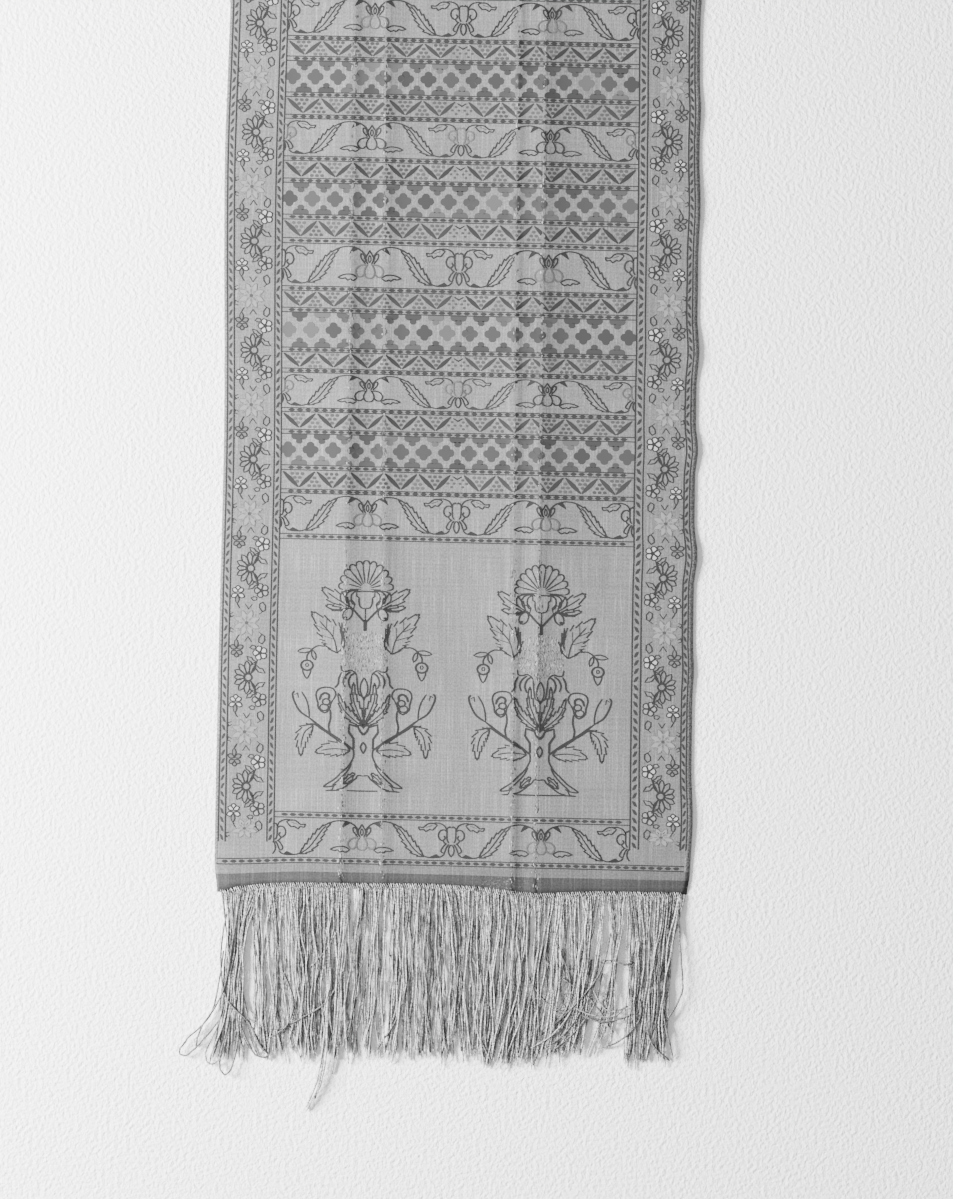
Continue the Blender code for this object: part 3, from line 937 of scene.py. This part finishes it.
def plant_half():
    """Right half of a flowering plant; y downwards from its top."""
    m = Drawing()
    fan_half(m)
    # cup and stem
    m.line([(0, 31), (9, 31), (9, 36), (6.6, 37.6)], LINE, ends=(1, 1))
    m.line(curve([(6.6, 37.6), (6.5, 43), (4.6, 47.4), (0, 48.6)], 3), LINE)
    m.line([(0, 48.6), (0, 62)], LINE * 1.2)
    m.line(curve([(0, 63), (6, 56.5), (12, 50), (16, 46.5)], 3), LINE * 1.4)
    m.line([(0, 60), (0, 71)], 3, ends=(1, 1))
    # lobed leaf and hanging bud
    m.line([(12, 50), (10.6, 44), (13.4, 40.6), (19, 42)], LINE)
    m.leaf([(16, 47), (25, 41.6), (34, 36), (44, 28)], (8.6, 9.2), 4, LINE, 0.36)
    m.leaf([(18, 48.4), (26, 50), (34, 49.4), (40, 46)], (2, 6.6), 3, LINE, 0.3)
    m.line(oval(17.6, 54.4, 4.4, 6.4, 12, -0.5), LINE, closed=True)
    m.blob(20.2, 58.4, 2.4, 1.6, "line", 6, 0.5)
    # large toothed leaf with veins
    m.leaf([(27, 94), (31, 79), (40, 68), (54, 52.5)], (13, 14.6), 7, LINE, 0.3)
    for start, end in (((31.6, 78), (31, 67)), ((31, 80), (44, 76)),
                       ((38.5, 69), (38, 60)), ((37.5, 71.5), (48.5, 66.5))):
        m.line([start, end], 1.0)
    m.strokes(
        (LINE * 1.2, 3, (21, 90), (20, 82), (22.6, 72), (23, 63)),
        (LINE, 3, (23.5, 86), (22.6, 78), (25, 70)),
    )
    # drooping twig with leaves and berry
    m.line(curve([(40, 87.6), (46, 87), (52, 90.4), (57, 97), (57, 102)], 3), LINE)
    m.petal(52, 91, 8, 15, 4.8, LINE, None, "even")
    m.petal(52, 91.5, 108, 10.5, 4.2, LINE, None, "even")
    m.ring(57, 107, 6, 5.2, LINE * 1.4, sides=12)
    m.ring(57, 106.6, 1.5, 2, 0.9, sides=6)
    m.line(curve([(52.6, 111.2), (54, 115.4), (57, 120.4), (60.4, 115.4), (61.4, 111.2)], 2), LINE)
    # lower cup with curved petals
    m.strokes(
        (LINE * 1.1, 3, (23, 106), (22, 111.5), (17, 112), (14, 110.8), (10, 112.4), (7.4, 116)),
        (LINE * 1.3, 3, (9.6, 113.6), (13.6, 117), (15.4, 123), (13.4, 129.6)),
        (LINE * 1.2, 3, (13.4, 112.4), (18, 116), (20.6, 122), (19, 128)),
        (LINE * 1.3, 3, (22, 113), (25, 119), (25.6, 125), (29, 129)),
        (LINE * 1.1, 3, (7.4, 116), (6.6, 126), (5, 135), (0, 138)),
    )
    m.line([(0, 138), (0, 164)], LINE * 1.3)
    # round side blossom on its stalk
    m.strokes(
        (LINE * 1.2, 2, (30.5, 141), (27.8, 136), (30.4, 130), (38, 128.6), (45.4, 131),
         (47.6, 137), (45.6, 144.6), (45, 150), (39, 154.6), (34.4, 151), (33, 145.6), (30.5, 141)),
        (LINE * 1.6, 3, (44, 142), (42.4, 137), (38.6, 134.4), (34.6, 136.4), (35, 141)),
    )
    m.line(oval(37.4, 143.4, 3.8, 3.2, 9), LINE * 1.2, closed=True)
    m.line(oval(39.4, 149, 4.4, 3.4, 9), LINE, closed=True)
    m.line(curve([(33.2, 151), (32.8, 160), (34.6, 168), (32.4, 178)], 3), LINE * 1.3)
    # feathered leaves above the trunk
    m.leaf([(0.6, 165), (6.4, 152), (10.6, 139), (10.4, 123)], (4.6, 5.6), 5, LINE, 0.4)
    m.leaf([(1.6, 167), (12, 159), (21, 149), (25.6, 134)], (4.6, 6.4), 6, LINE, 0.4)
    m.line(curve([(0, 118), (3, 124), (3.6, 132), (0, 141)], 3), LINE)
    m.polygon([(0, 160), (5, 164), (0, 170), (-5, 164)], "line")
    # bud on a long stem
    m.strokes(
        (LINE * 1.5, 4, (9, 192), (22, 182), (38, 172), (54, 160)),
        (LINE, 4, (22, 184.6), (34, 176), (46, 168.4)),
        (LINE, 3, (54, 160), (54.6, 151), (57, 142), (62, 133.6)),
        (LINE * 1.3, 3, (54, 160), (63, 154), (68, 146), (71, 137), (69, 133)),
    )
    m.line([(69, 137), (66, 135), (65, 140)], LINE)
    # hanging toothed leaf, lobed leaf
    m.line(curve([(42, 170), (50, 166), (56, 167)], 3), LINE * 1.2)
    m.leaf([(50, 167.6), (58, 174), (61.4, 185), (62, 199)], (7.4, 8.4), 6, LINE, 0.4)
    m.leaf([(13, 192), (25, 190.4), (37, 191.4), (48, 194.6)], (8, 9), 5, LINE, 0.3)
    # trunk, its eye, roots, mound and ground line
    m.line([(0, 176), (3.4, 172.5), (5.4, 168), (14, 165.5), (14.6, 173), (9.8, 180),
            (9.6, 190)], LINE * 1.6, ends=(1, 1))
    m.strokes(
        (LINE * 1.1, 3, (9.8, 190), (9.4, 198), (14, 207), (21, 214), (28, 221), (34, 225),
         (39, 229), (31, 228.4), (26, 226)),
        (LINE, 3, (11.4, 205), (15, 212), (22, 220), (30, 227)),
        (LINE * 1.1, 3, (0, 183), (2.8, 188.5), (0, 195)),
        (LINE, 3, (0, 217.4), (5, 217), (7, 220), (13, 225), (20, 230), (26, 231.4)),
    )
    m.leaf([(19, 226), (15, 221), (11, 217.6), (8.6, 214)], (4, 4), 3, LINE, 0.4)
    m.line([(0, 232.6), (24, 232.2), (36, 232.8)], LINE, ends=(1, 1))
    m.line([(28, 227), (30.6, 232), (37, 232.8)], LINE)
    # pale worn place between the large leaves
    rand = random.Random(31)
    for _ in range(330):
        x, y = rand.uniform(0, 25), rand.uniform(70, 114)
        if (x / 25.0) ** 2 + ((y - 92.0) / 22.0) ** 2 > 1.0:
            continue
        wide, deep = rand.uniform(0.35, 0.9), rand.uniform(0.5, 2)
        m.blob(x, y, wide, deep, rand.choice(("pale", "pale", "pale", "worn", "faint")), 5)
    return m


# The pattern over the whole cloth

def long_line(drawing, u, start, end, width):
    """A line along the cloth at u."""
    n = max(2, int((end - start) / 8.0) + 1)
    v = np.linspace(start, end, n)
    points = np.stack([np.full(n, u), v], axis=1)
    drawing.line(points, width, ends=(1.0, 1.0))


def cross_line(drawing, v, left, right, width):
    """A line across the cloth at v."""
    n = max(2, int((right - left) / 3.6) + 1)
    u = np.linspace(left, right, n)
    drawing.line(np.stack([u, np.full(n, v)], axis=1), width, ends=(1.0, 1.0))


def lens(length, width):
    m = Drawing()
    m.polygon([(-length / 2, 0), (-length / 6, width / 2), (length / 6, width / 2),
               (length / 2, 0), (length / 6, -width / 2), (-length / 6, -width / 2)], "dash")
    return m


def slant():
    m = Drawing()
    m.polygon([(-2.2, -3.2), (0.6, -2.0), (2.2, 1.4), (2.2, 3.2), (-0.6, 2.0), (-2.2, -1.4)],
              "dash")
    return m


def guard_band(drawing, start, end, left, right):
    """Two lines with a row of lens dashes between them."""
    cross_line(drawing, start + 0.3, left, right, 0.75)
    cross_line(drawing, end - 0.3, left, right, 0.75)
    count = int((right - left) / (DASH_STEP * PX))
    u = FIELD_MIDDLE + (np.arange(-count // 2, count // 2 + 1)) * DASH_STEP * PX
    u = u[(u > left + 2.4) & (u < right - 2.4)]
    drawing.stamp(lens(7.2, 3.0), u, (start + end) / 2.0, PX, PX)


def draw_guards():
    d = Drawing()
    for kind, start, end, _ in BANDS:
        if kind == "guard":
            guard_band(d, start, end, FIELD_LEFT, FIELD_RIGHT)
        elif kind == "guard_full":
            guard_band(d, start, end, -174.4, 171.0)
    for lines in (LEFT_LINES, RIGHT_LINES):
        for u in lines:
            long_line(d, u, GUARDS_START, LENGTH - GUARDS_START, 0.85)
    v = np.arange(GUARDS_START + 3.0, LENGTH - GUARDS_START - 2.0, DASH_STEP * PX)
    half = np.floor((v - FIRST_DAISY) / (BORDER_PERIOD / 2.0)).astype(int)
    lean = np.where(half % 2 == 0, 1.0, -1.0)
    for lines, sign in ((LEFT_LINES[:2], 1.0), (LEFT_LINES[2:], -1.0),
                        (RIGHT_LINES[:2], 1.0), (RIGHT_LINES[2:], -1.0)):
        wide = (lines[1] - lines[0]) / 8.6
        d.stamp(slant(), sum(lines) / 2.0, v, lean * sign * wide, PX)
    return d


def draw_bands():
    """Zigzags, dots, quatrefoils and vines."""
    rand = random.Random(17)
    zigzags, foils, vines = Drawing(), Drawing(), Drawing()
    strokes, dots = zigzag_band(), zigzag_dots()
    whole, half = quatrefoil("whole"), quatrefoil("half")
    quarter = vine_quarter()
    halves = {
        (name, full): make(full)
        for name, make in (("cup", cup_flower_half), ("bud", bud_flower_half))
        for full in (True, False)
    }

    def shades(count, choices=(0, 1, 1, 2)):
        return [rand.choice(choices) for _ in range(count)]

    for kind, start, end, group in BANDS:
        if kind == "zigzag":
            tall = -(end - start) / ZIGZAG_DEPTH
            zigzags.stamp(strokes, FIELD_MIDDLE, end, (PX, -PX), tall, shades(2, (0, 1, 1)))
            middle = (start + end) / 2.0
            x = DOTS_FROM + DOTS_STEP * np.arange(9)
            up = np.where(np.arange(9) % 2 == 0, PX, -PX)
            for sign in (1.0, -1.0):
                u = FIELD_MIDDLE + sign * x * PX
                zigzags.stamp(dots, u, middle + 2.0 * up, PX, up, shades(9))
            for x0, y0 in ((5.6, 3.8), (9.3, 7.2), (2.9, 7.2), (5.6, 10.7)):
                for sign in (1.0, -1.0):
                    zigzags.blob(FIELD_MIDDLE + sign * x0 * PX, end - (y0 + 2.4) * PX, 1.05, 0.95,
                                 "dot", 6)
            zigzags.line([(FIELD_MIDDLE - 4.5 * PX, end - 2.6 * PX),
                          (FIELD_MIDDLE, end - 5.3 * PX),
                          (FIELD_MIDDLE + 4.5 * PX, end - 2.6 * PX)], 1.1)
        elif kind == "quatrefoil":
            across_whole = FIELD_MIDDLE + (FOIL_STEP / 2.0 + FOIL_STEP * np.arange(-8, 8)) * PX
            across_half = FIELD_MIDDLE + FOIL_STEP * np.arange(-7, 8) * PX
            for motif, u, v, tall in ((whole, across_whole, (start + end) / 2.0, PX),
                                      (half, across_half, end - 1.4 * PX, -PX),
                                      (half, across_half, start + 1.4 * PX, PX)):
                foils.stamp(motif, u, v, PX, tall, shades(len(u), (0, 0, 1, 1, 1, 1, 2, 3)))
        elif kind == "vine":
            tall = -(end - start) / VINE_DEPTH
            top = end
            if group == -2:
                tall, top = -tall, start
            cup_full = group % 2 == 0 or group < 0
            cup, bud = halves["cup", cup_full], halves["bud", not cup_full]
            for motif, reach in ((cup, CUP_REPEAT), (quarter, VINE_REPEAT)):
                for u, sign in ((0.0, 1.0), (0.0, -1.0), (reach, -1.0), (-reach, 1.0)):
                    vines.stamp(motif, FIELD_MIDDLE + u * PX, top, sign * PX, tall, shades(1))
            for u in (VINE_REPEAT / 2.0, -VINE_REPEAT / 2.0):
                vines.stamp(bud, FIELD_MIDDLE + u * PX, top, (PX, -PX), tall, shades(2))
    return zigzags, foils, vines


def draw_borders():
    d = Drawing()
    flower, marks, round_one = daisy(), small_marks(), rosette()
    posies = {fill: five_petals(fill) for fill in ("white", "pale")}
    blooms = {fill: blossom(fill) for fill in ("white", "leaf")}
    for side, inner in ((1.0, RIGHT_LINES[1]), (-1.0, LEFT_LINES[2])):
        v = FIRST_DAISY - BORDER_PERIOD / 2.0
        count = 0
        while v < LENGTH - BORDER_STARTS:
            if BORDER_STARTS + FLOWER_MARGIN < v < LENGTH - BORDER_STARTS - FLOWER_MARGIN:
                if count % 2 == 1:
                    d.stamp(flower, inner, v, side * PX, PX)
                    for way, posy, bloom, near in ((1.0, "white", "leaf", 24.5),
                                                   (-1.0, "pale", "white", 22.0)):
                        far = v + way * BORDER_PERIOD / 2.0
                        if not BORDER_STARTS - 1.0 < far < LENGTH - BORDER_STARTS:
                            continue
                        d.stamp(posies[posy], inner + side * 9.5 * PX, v + way * near * PX,
                                side * PX, way * PX)
                        d.stamp(blooms[bloom], inner + side * 33.0 * PX, v + way * (near + 3.6) * PX,
                                side * PX, way * PX)
                        d.stamp(marks, inner, v, side * PX, way * PX)
                else:
                    d.stamp(round_one, inner + side * 23.5 * PX, v, side * PX, PX)
            elif count % 2 == 0:
                # worn rosette beside the bare corner
                end = CORNER_ROSETTE if v < LENGTH / 2.0 else LENGTH - CORNER_ROSETTE
                d.stamp(round_one, inner + side * 22.0 * PX, end, side * PX, 0.7 * PX)
            v += BORDER_PERIOD / 2.0
            count += 1
    return d


def draw_plants():
    d = Drawing()
    half = plant_half()
    for u in PLANTS_U:
        for top, tall in ((PLANT_TOP, -PX * PLANT_STRETCH),
                          (LENGTH - PLANT_TOP, PX * PLANT_STRETCH)):
            d.stamp(half, u, top, (PX, -PX), tall)
    return d


def draw_wear_and_fold_shade():
    """Rubbed pale specks along the creases and in the stripe, and a thin line of painted shade
    beside one crease.
    """
    rand = random.Random(23)
    d = Drawing()

    def u_at(x, v):
        left, right = float(left_side(v)), float(right_side(v))
        return LEFT_U + (x - left) / (right - left) * (RIGHT_U - LEFT_U)

    for number, crease in enumerate(CREASES):
        v = 4.0
        while v < LENGTH - 4.0:
            dense = 1.1 if v < 240.0 or v > LENGTH - 240.0 else 0.35
            v += rand.expovariate(dense * WEAR_SHARES[number])
            x = float(crease_x(crease, v)) + rand.gauss(0.0, 1.1)
            tone = rand.choice(("pale", "pale", "worn", "white", "faint", "foil"))
            d.blob(u_at(x, v), v, rand.uniform(0.25, 0.6), rand.uniform(0.3, 1.6), tone, 5)
    # painted shade: broken thin dark lines just right of the fourth crease, on its side turned away
    # from the light
    for v in np.arange(22.0, LENGTH - 40.0, 13.0):
        if rand.random() < 0.8:
            ends = (v, v + rand.uniform(8.0, 14.0))
            points = [(u_at(float(crease_x(CREASES[3], e)) + 1.7, e), e) for e in ends]
            d.line(points, 0.5, "faint")
    for _ in range(90):
        u, v = rand.gauss(34.0, 9.0), rand.uniform(0.8, 9.8)
        d.blob(u, v, rand.uniform(0.3, 1.1), rand.uniform(0.25, 0.5),
               rand.choice(("faint", "faint", "leaf")), 5)
    for u in TEARS_U:
        d.line([(u, 10.2), (u + 0.9, 7.6), (u + 0.2, 5.4), (u + 1.5, 2.6), (u + 1.1, 0.4)], 0.9)
        d.blob(u + 1.2, 1.4, 1.5, 1.3, "line", 6)
    return d


INKS = {}                   # materials of the pattern, shared by its pieces


def lift(name, drawing):
    """The drawing as a mesh on the cloth, with the tones that it uses."""
    corners, rises, faces, tones = drawing.arrays()
    u, v = corners[:, 0], np.clip(corners[:, 1], 0.0, LENGTH)
    a, b, c = corners[faces].transpose(1, 2, 0)
    turned = (b[0] - a[0]) * (c[1] - a[1]) < (b[1] - a[1]) * (c[0] - a[0])
    faces[turned] = faces[turned, ::-1]
    x = across(u, v)
    z = top_height(x, v) + SHEET_GAP + rises
    used, places = np.unique(tones.astype(int), return_inverse=True)
    materials = []
    for tone in used:
        ink_name, grey = INK_TONES[tone // len(SHADES)]
        shade = tone % len(SHADES)
        key = f"ink_{ink_name}_{shade}"
        if key not in INKS:
            INKS[key] = principled(key, min(grey * SHADES[shade], 0.8), 0.75, 0.03)[0]
        materials.append(INKS[key])
    piece = mesh_object(name, world(x, v, z), faces, materials, places, shade=True)
    return piece


# Fringes

def thread_tubes(name, groups, width, materials, node):
    """Threads as thin three-sided tubes whose plies show as a twist along them.

    Each group is (paths, odds of the light, middle and dark tone, thickness as a share).
    """
    points, faces, tones = [], [], []
    count = 0
    rand = np.random.default_rng(11)
    lines = [(line, odds, share) for paths, odds, share in groups for line in paths]
    for line, odds, share in lines:
        n = len(line)
        way = np.gradient(line, axis=0)
        way /= np.maximum(np.linalg.norm(way, axis=1, keepdims=True), 1e-9)
        side = np.cross(way, (0.0, 0.0, 1.0))
        side /= np.maximum(np.linalg.norm(side, axis=1, keepdims=True), 1e-9)
        up = np.cross(side, way)
        radius = width / 2.0 * share * rand.uniform(0.9, 1.1, n)
        radius[-1] *= 0.5
        twist = np.arange(n) * 1.7 + rand.uniform(0.0, 6.3)
        for k in range(3):
            a = twist + k * 2.0 * np.pi / 3.0
            offset = side * (np.cos(a) * radius)[:, None] + up * (np.sin(a) * radius)[:, None]
            points.append(line + offset)
        i = np.arange(n - 1)
        for k in range(3):
            p, q = count + k * n, count + (k + 1) % 3 * n
            faces.append(np.stack([p + i, p + i + 1, q + i + 1, q + i], axis=1))
        tones.append(np.full(3 * (n - 1), rand.choice(3, p=odds)))
        count += 3 * n
    points = np.concatenate(points)
    points[:, 2] = np.maximum(points[:, 2], 0.02)
    piece = mesh_object(name, points * MM, np.concatenate(faces), materials,
                        np.concatenate(tones), shade=True)
    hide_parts(node)
    return piece


# Locks of the near fringe: x of both sides at the roots, halfway and at the tips, reach, threads.
# Their places, and those of the loose threads, were read off the photograph.
NEAR_LOCKS = (
    (-173, -141, -169, -156, -177, -150, 122, 30),
    (-151, -141, -150, -140, -147, -138, 122, 8),
    (-141, -114, -139, -112, -140, -108, 124, 31),
    (-114, -95, -113, -96, -111, -97, 126, 22),
    (-95, -77, -97, -77, -98, -80, 124, 21),
    (-72, -52, -76, -53, -80, -56, 124, 23),
    (-52, -30, -52, -29, -54, -29, 123, 25),
    (-30, -8, -29, -7, -29, -7, 124, 25),
    (-8, 18, -6, 19, -6, 20, 123, 30),
    (18, 43, 19, 42, 21, 32, 124, 28),
    (43, 70, 43, 65, 33, 58, 124, 33),
    (70, 92, 66, 90, 60, 84, 121, 25),
    (92, 114, 90, 107, 80, 97, 118, 22),
    (114, 129, 118, 122, 100, 118, 116, 10),
    (129, 150, 131, 147, 128, 142, 122, 24),
    (150, 169, 147, 160, 142, 158, 122, 22),
    (169, 173, 160, 162.5, 156, 159, 122, 5),
)
# Threads that leave their lock: points (x, distance from the hem).
LOOSE_THREADS = (
    ((-170, 50), (-178, 95), (-196, 116), (-202, 126), (-196, 128),
     (-184, 116), (-172, 100), (-166, 80)),
    ((-165, 50), (-172, 100), (-182, 124), (-180, 134), (-172, 130),
     (-166, 110), (-160, 80)),
    ((-160, 60), (-166, 104), (-172, 132), (-168, 142), (-162, 134),
     (-158, 110), (-158, 80)),
    ((-162, 50), (-152, 96), (-143, 118), (-136, 127), (-145, 127),
     (-154, 112), (-162, 90)),
    ((-166, 10), (-172, 50), (-168, 84), (-150, 104), (-140, 124)),
    ((-158, 6), (-163, 40), (-170, 80), (-186, 108), (-190, 122)),
    ((-85, 32), (-92, 44), (-100, 55), (-112, 66)),
    ((-81, 66), (-94, 87), (-112, 99), (-130, 109)),
    ((131, 84), (120, 92), (104, 91), (90, 86), (76, 90)),
    ((112, 60), (106, 84), (92, 104), (74, 120)),
    ((104, 50), (100, 80), (84, 106), (62, 121)),
    ((92, 60), (90, 86), (76, 106), (58, 118)),
    ((136, 60), (141, 90), (128, 108), (112, 116)),
    ((150, 70), (146, 96), (150, 112), (163, 124)),
    ((111, 52), (119, 50), (128, 53), (136, 51)),
    ((60, 40), (80, 62), (104, 80), (121, 104)),
    ((75, 30), (88, 66), (84, 90), (60, 112)),
    ((118, 30), (110, 60), (88, 88), (66, 108)),
    ((96, 44), (107, 76), (118, 88), (132, 84)),
    ((54, 60), (72, 84), (98, 92), (119, 96)),
    ((-128, 60), (-118, 84), (-122, 104), (-140, 117)),
    ((-46, 50), (-36, 70), (-40, 96), (-56, 122)),
    ((10, 40), (22, 70), (18, 100), (30, 128)),
    ((92, 88), (100, 93), (112, 96), (124, 94), (135, 90)),
    ((168, 6), (169, 31), (171, 55), (171, 74), (159, 96), (152, 104)),
    ((156, 78), (160, 100), (165.6, 122)),
)
# Long pale threads, in the same form.
PALE_THREADS = (
    ((-92, 20), (-90, 70), (-94, 119), (-98, 148), (-107, 168)),
    ((-95, 24), (-92, 76), (-95.4, 121), (-99.6, 146), (-107.6, 166)),
    ((-90, 40), (-92, 90), (-92.6, 124), (-96, 145), (-101, 159)),
    ((-88, 30), (-84, 80), (-88, 140)),
    ((-80, 50), (-79, 100), (-76, 132)),
    ((-36, 60), (-40, 104), (-44, 131)),
    ((27, 60), (22, 104), (25, 132)),
)


def far_locks():
    """Locks of the far fringe, like the near ones."""
    rand = random.Random(9)
    locks = []
    x = -173.0
    while x < 165.0:
        end = min(x + rand.uniform(17.0, 27.0), 173.0)
        middle, tip = rand.gauss(0.0, 2.0), rand.gauss(0.0, 4.0)
        draw = rand.uniform(1.0, 3.0)
        locks.append((x, end, x + middle, end + middle - draw, x + tip + draw,
                      end + tip - draw, rand.uniform(119.0, 125.0), int((end - x) * 0.8)))
        x = end + rand.choice((0.3, 0.5, 2.0))
    return locks


def fringe_threads(locks, seed, direction, steps):
    """Threads in locks, each a little unlike its neighbours."""
    rand = np.random.default_rng(seed)
    edge = 0.0 if direction < 0 else LENGTH
    paths = []
    for r0, r1, m0, m1, t0, t1, lock_reach, count in locks:
        spots = (np.arange(count) + 0.5) / count
        for spot in spots:
            reach = lock_reach + rand.normal(0.0, 3.6) - 14.0 * (rand.uniform() < 0.07)
            along = np.linspace(0.0, reach, steps)
            t = along / lock_reach
            cross = rand.normal(0.0, 0.13, 2)
            root = r0 + (r1 - r0) * spot
            middle = m0 + (m1 - m0) * np.clip(spot + cross[0], -0.02, 1.02)
            tip = t0 + (t1 - t0) * (spot + cross[1])
            x = (root * (2 * t - 1) * (t - 1) + middle * 4 * t * (1 - t) + tip * t * (2 * t - 1))
            loose = np.clip(along / 30.0, 0.0, 1.0)
            for depth, length in ((rand.uniform(0.5, 1.8), rand.uniform(9.0, 20.0)),
                                  (rand.uniform(0.1, 0.5), rand.uniform(3.5, 7.0))):
                x += loose * depth * np.sin(along / length + rand.uniform(0.0, 6.3))
            z = 0.7 + 3.0 * rand.uniform() * np.sin(np.pi * np.clip(t, 0.0, 1.0) * 0.9) ** 0.6
            z += 0.3 * np.sin(along / rand.uniform(5.0, 11.0)) * loose
            y = edge + direction * along - WEFT_SKEW * x - LENGTH / 2.0
            if direction < 0:
                y -= hem_drop(root)
            paths.append(np.stack([x, y, z], axis=1))
    return paths


def loose_threads(table):
    paths = []
    for number, points in enumerate(table):
        line = curve(points, 8)
        t = np.linspace(0.0, 1.0, len(line))
        z = 0.8 + (2.2 + 0.3 * (number % 3)) * np.sin(np.pi * t) ** 0.5
        paths.append(np.stack(
            [line[:, 0], -line[:, 1] - LENGTH / 2.0 - WEFT_SKEW * line[:, 0], z], axis=1))
    return paths


def hem_loops(direction):
    """The row of small stitches that holds the threads at a hem."""
    rand = np.random.default_rng(7)
    edge = 0.0 if direction < 0 else LENGTH
    x = np.arange(-172.0, 172.0, 1.6)
    v = np.full_like(x, edge - direction * 1.2)
    high = top_height(x, v)
    paths = []
    for place, top in zip(x, high):
        lean = rand.uniform(0.4, 1.4)
        points = np.array([
            (place - lean, -1.6, top + 0.1), (place - lean / 2, -0.4, top + 0.55),
            (place + lean / 4, 1.2, top * 0.5 + 0.9), (place + lean, 2.8, 0.9),
        ])
        drop = hem_drop(place) if direction < 0 else 0.0
        y = edge + direction * points[:, 1] - WEFT_SKEW * place - LENGTH / 2.0 - drop
        paths.append(np.stack([points[:, 0], y, points[:, 2]], axis=1))
    return paths


def thread_material(name, low, high):
    """Mottled two-ply silk thread."""
    material, shader = principled(name, (low + high) / 2.0, 0.7, 0.05)
    tree, coordinates = object_places(material)
    mottle = noise(tree, coordinates, (1400.0, 950.0, 300.0), 0.0)
    paint(tree, shader, ramp(tree, mottle, (0.42, 0.58), (low, high)))
    return material


# Stage, light and camera

def build_stage():
    bpy.ops.mesh.primitive_plane_add(size=30.0, location=(0.0, 0.0, -0.0004))
    floor = bpy.context.active_object
    floor.name = "floor"
    material, shader = principled("paper", 0.90, 0.85, 0.0)
    tree, coordinates = object_places(material)
    roughen(tree, shader, noise(tree, coordinates, (330.0, 330.0, 1.0), 3.0), 0.8, 0.0017)
    floor.data.materials.append(material)


def build_light():
    world_settings = bpy.data.worlds.new("soft")
    bpy.context.scene.world = world_settings
    world_settings.use_nodes = True
    background = world_settings.node_tree.nodes["Background"]
    background.inputs["Color"].default_value = (1.0, 1.0, 1.0, 1.0)
    background.inputs["Strength"].default_value = 0.8
    key = bpy.data.lights.new("key", "AREA")
    key.shape = "RECTANGLE"
    key.size, key.size_y = 0.5, 0.9
    key.energy = 416.0
    lamp = bpy.data.objects.new("key", key)
    bpy.context.scene.collection.objects.link(lamp)
    target = np.array([0.0, -LENGTH / 2.0 * MM + 0.15, 0.0])
    azimuth, elevation, distance = math.radians(172.0), math.radians(23.0), 2.0
    lamp.location = (
        target[0] + distance * math.cos(elevation) * math.cos(azimuth),
        target[1] + distance * math.cos(elevation) * math.sin(azimuth),
        distance * math.sin(elevation),
    )
    way = lamp.location - Vector(target)
    lamp.rotation_mode = "QUATERNION"
    lamp.rotation_quaternion = way.to_track_quat("Z", "Y")


CAMERA_HEIGHT = 3.0
SEEN_HEIGHT = 0.893         # this much of the surface fills the picture's height, in metres
CAMERA_X = 0.0145
CAMERA_FROM_HEM = 0.2157
CAMERA_TURN = 0.784
SENSOR_HEIGHT = 24.0


def build_camera():
    camera = bpy.data.cameras.new("camera")
    camera.sensor_fit = "VERTICAL"
    camera.sensor_height = SENSOR_HEIGHT
    camera.lens = SENSOR_HEIGHT * CAMERA_HEIGHT / SEEN_HEIGHT
    view = bpy.data.objects.new("camera", camera)
    bpy.context.scene.collection.objects.link(view)
    view.location = (CAMERA_X, -LENGTH / 2.0 * MM + CAMERA_FROM_HEM, CAMERA_HEIGHT)
    view.rotation_euler = (0.0, 0.0, math.radians(CAMERA_TURN))
    bpy.context.scene.camera = view


cloth = build_cloth()
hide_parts("web")
pattern = [lift("guards", draw_guards())]
for name, drawing in zip(("zigzags", "quatrefoils", "vines"), draw_bands()):
    pattern.append(lift(name, drawing))
pattern.append(lift("borders", draw_borders()))
pattern.append(lift("plants", draw_plants()))
# rubbed specks, and a painted shade line beside one crease
pattern.append(lift("wear_and_fold_shade", draw_wear_and_fold_shade()))
# The darkest thread tone is partly the threads' own tone and partly painted shade: those threads
# stand in for the shadowed gaps between threads.
threads = [thread_material("thread_" + name, low, high)
           for name, low, high in (("light", 0.14, 0.42), ("mid", 0.10, 0.31),
                                   ("dark_with_painted_shade", 0.042, 0.15))]
# a sixth of the threads in the darkest tone, partly painted shade between them
usual_odds = (0.47, 0.36, 0.17)
near_paths = fringe_threads(NEAR_LOCKS, 3, -1.0, 44) + hem_loops(-1.0)
near_groups = (
    (near_paths, usual_odds, 1.0),
    # painted shade: the loose threads are mostly given the darkest tone, for the shade they lie in
    (loose_threads(LOOSE_THREADS), (0.0, 0.25, 0.75), 1.3),
    (loose_threads(PALE_THREADS), (1.0, 0.0, 0.0), 1.4),
)
near = thread_tubes("threads_near", near_groups, 1.2, threads, "fringe_near")
far_paths = fringe_threads(far_locks(), 9, 1.0, 24) + hem_loops(1.0)
far = thread_tubes("threads_far", ((far_paths, usual_odds, 1.0),), 1.5, threads, "fringe_far")
build_stage()
build_light()
build_camera()
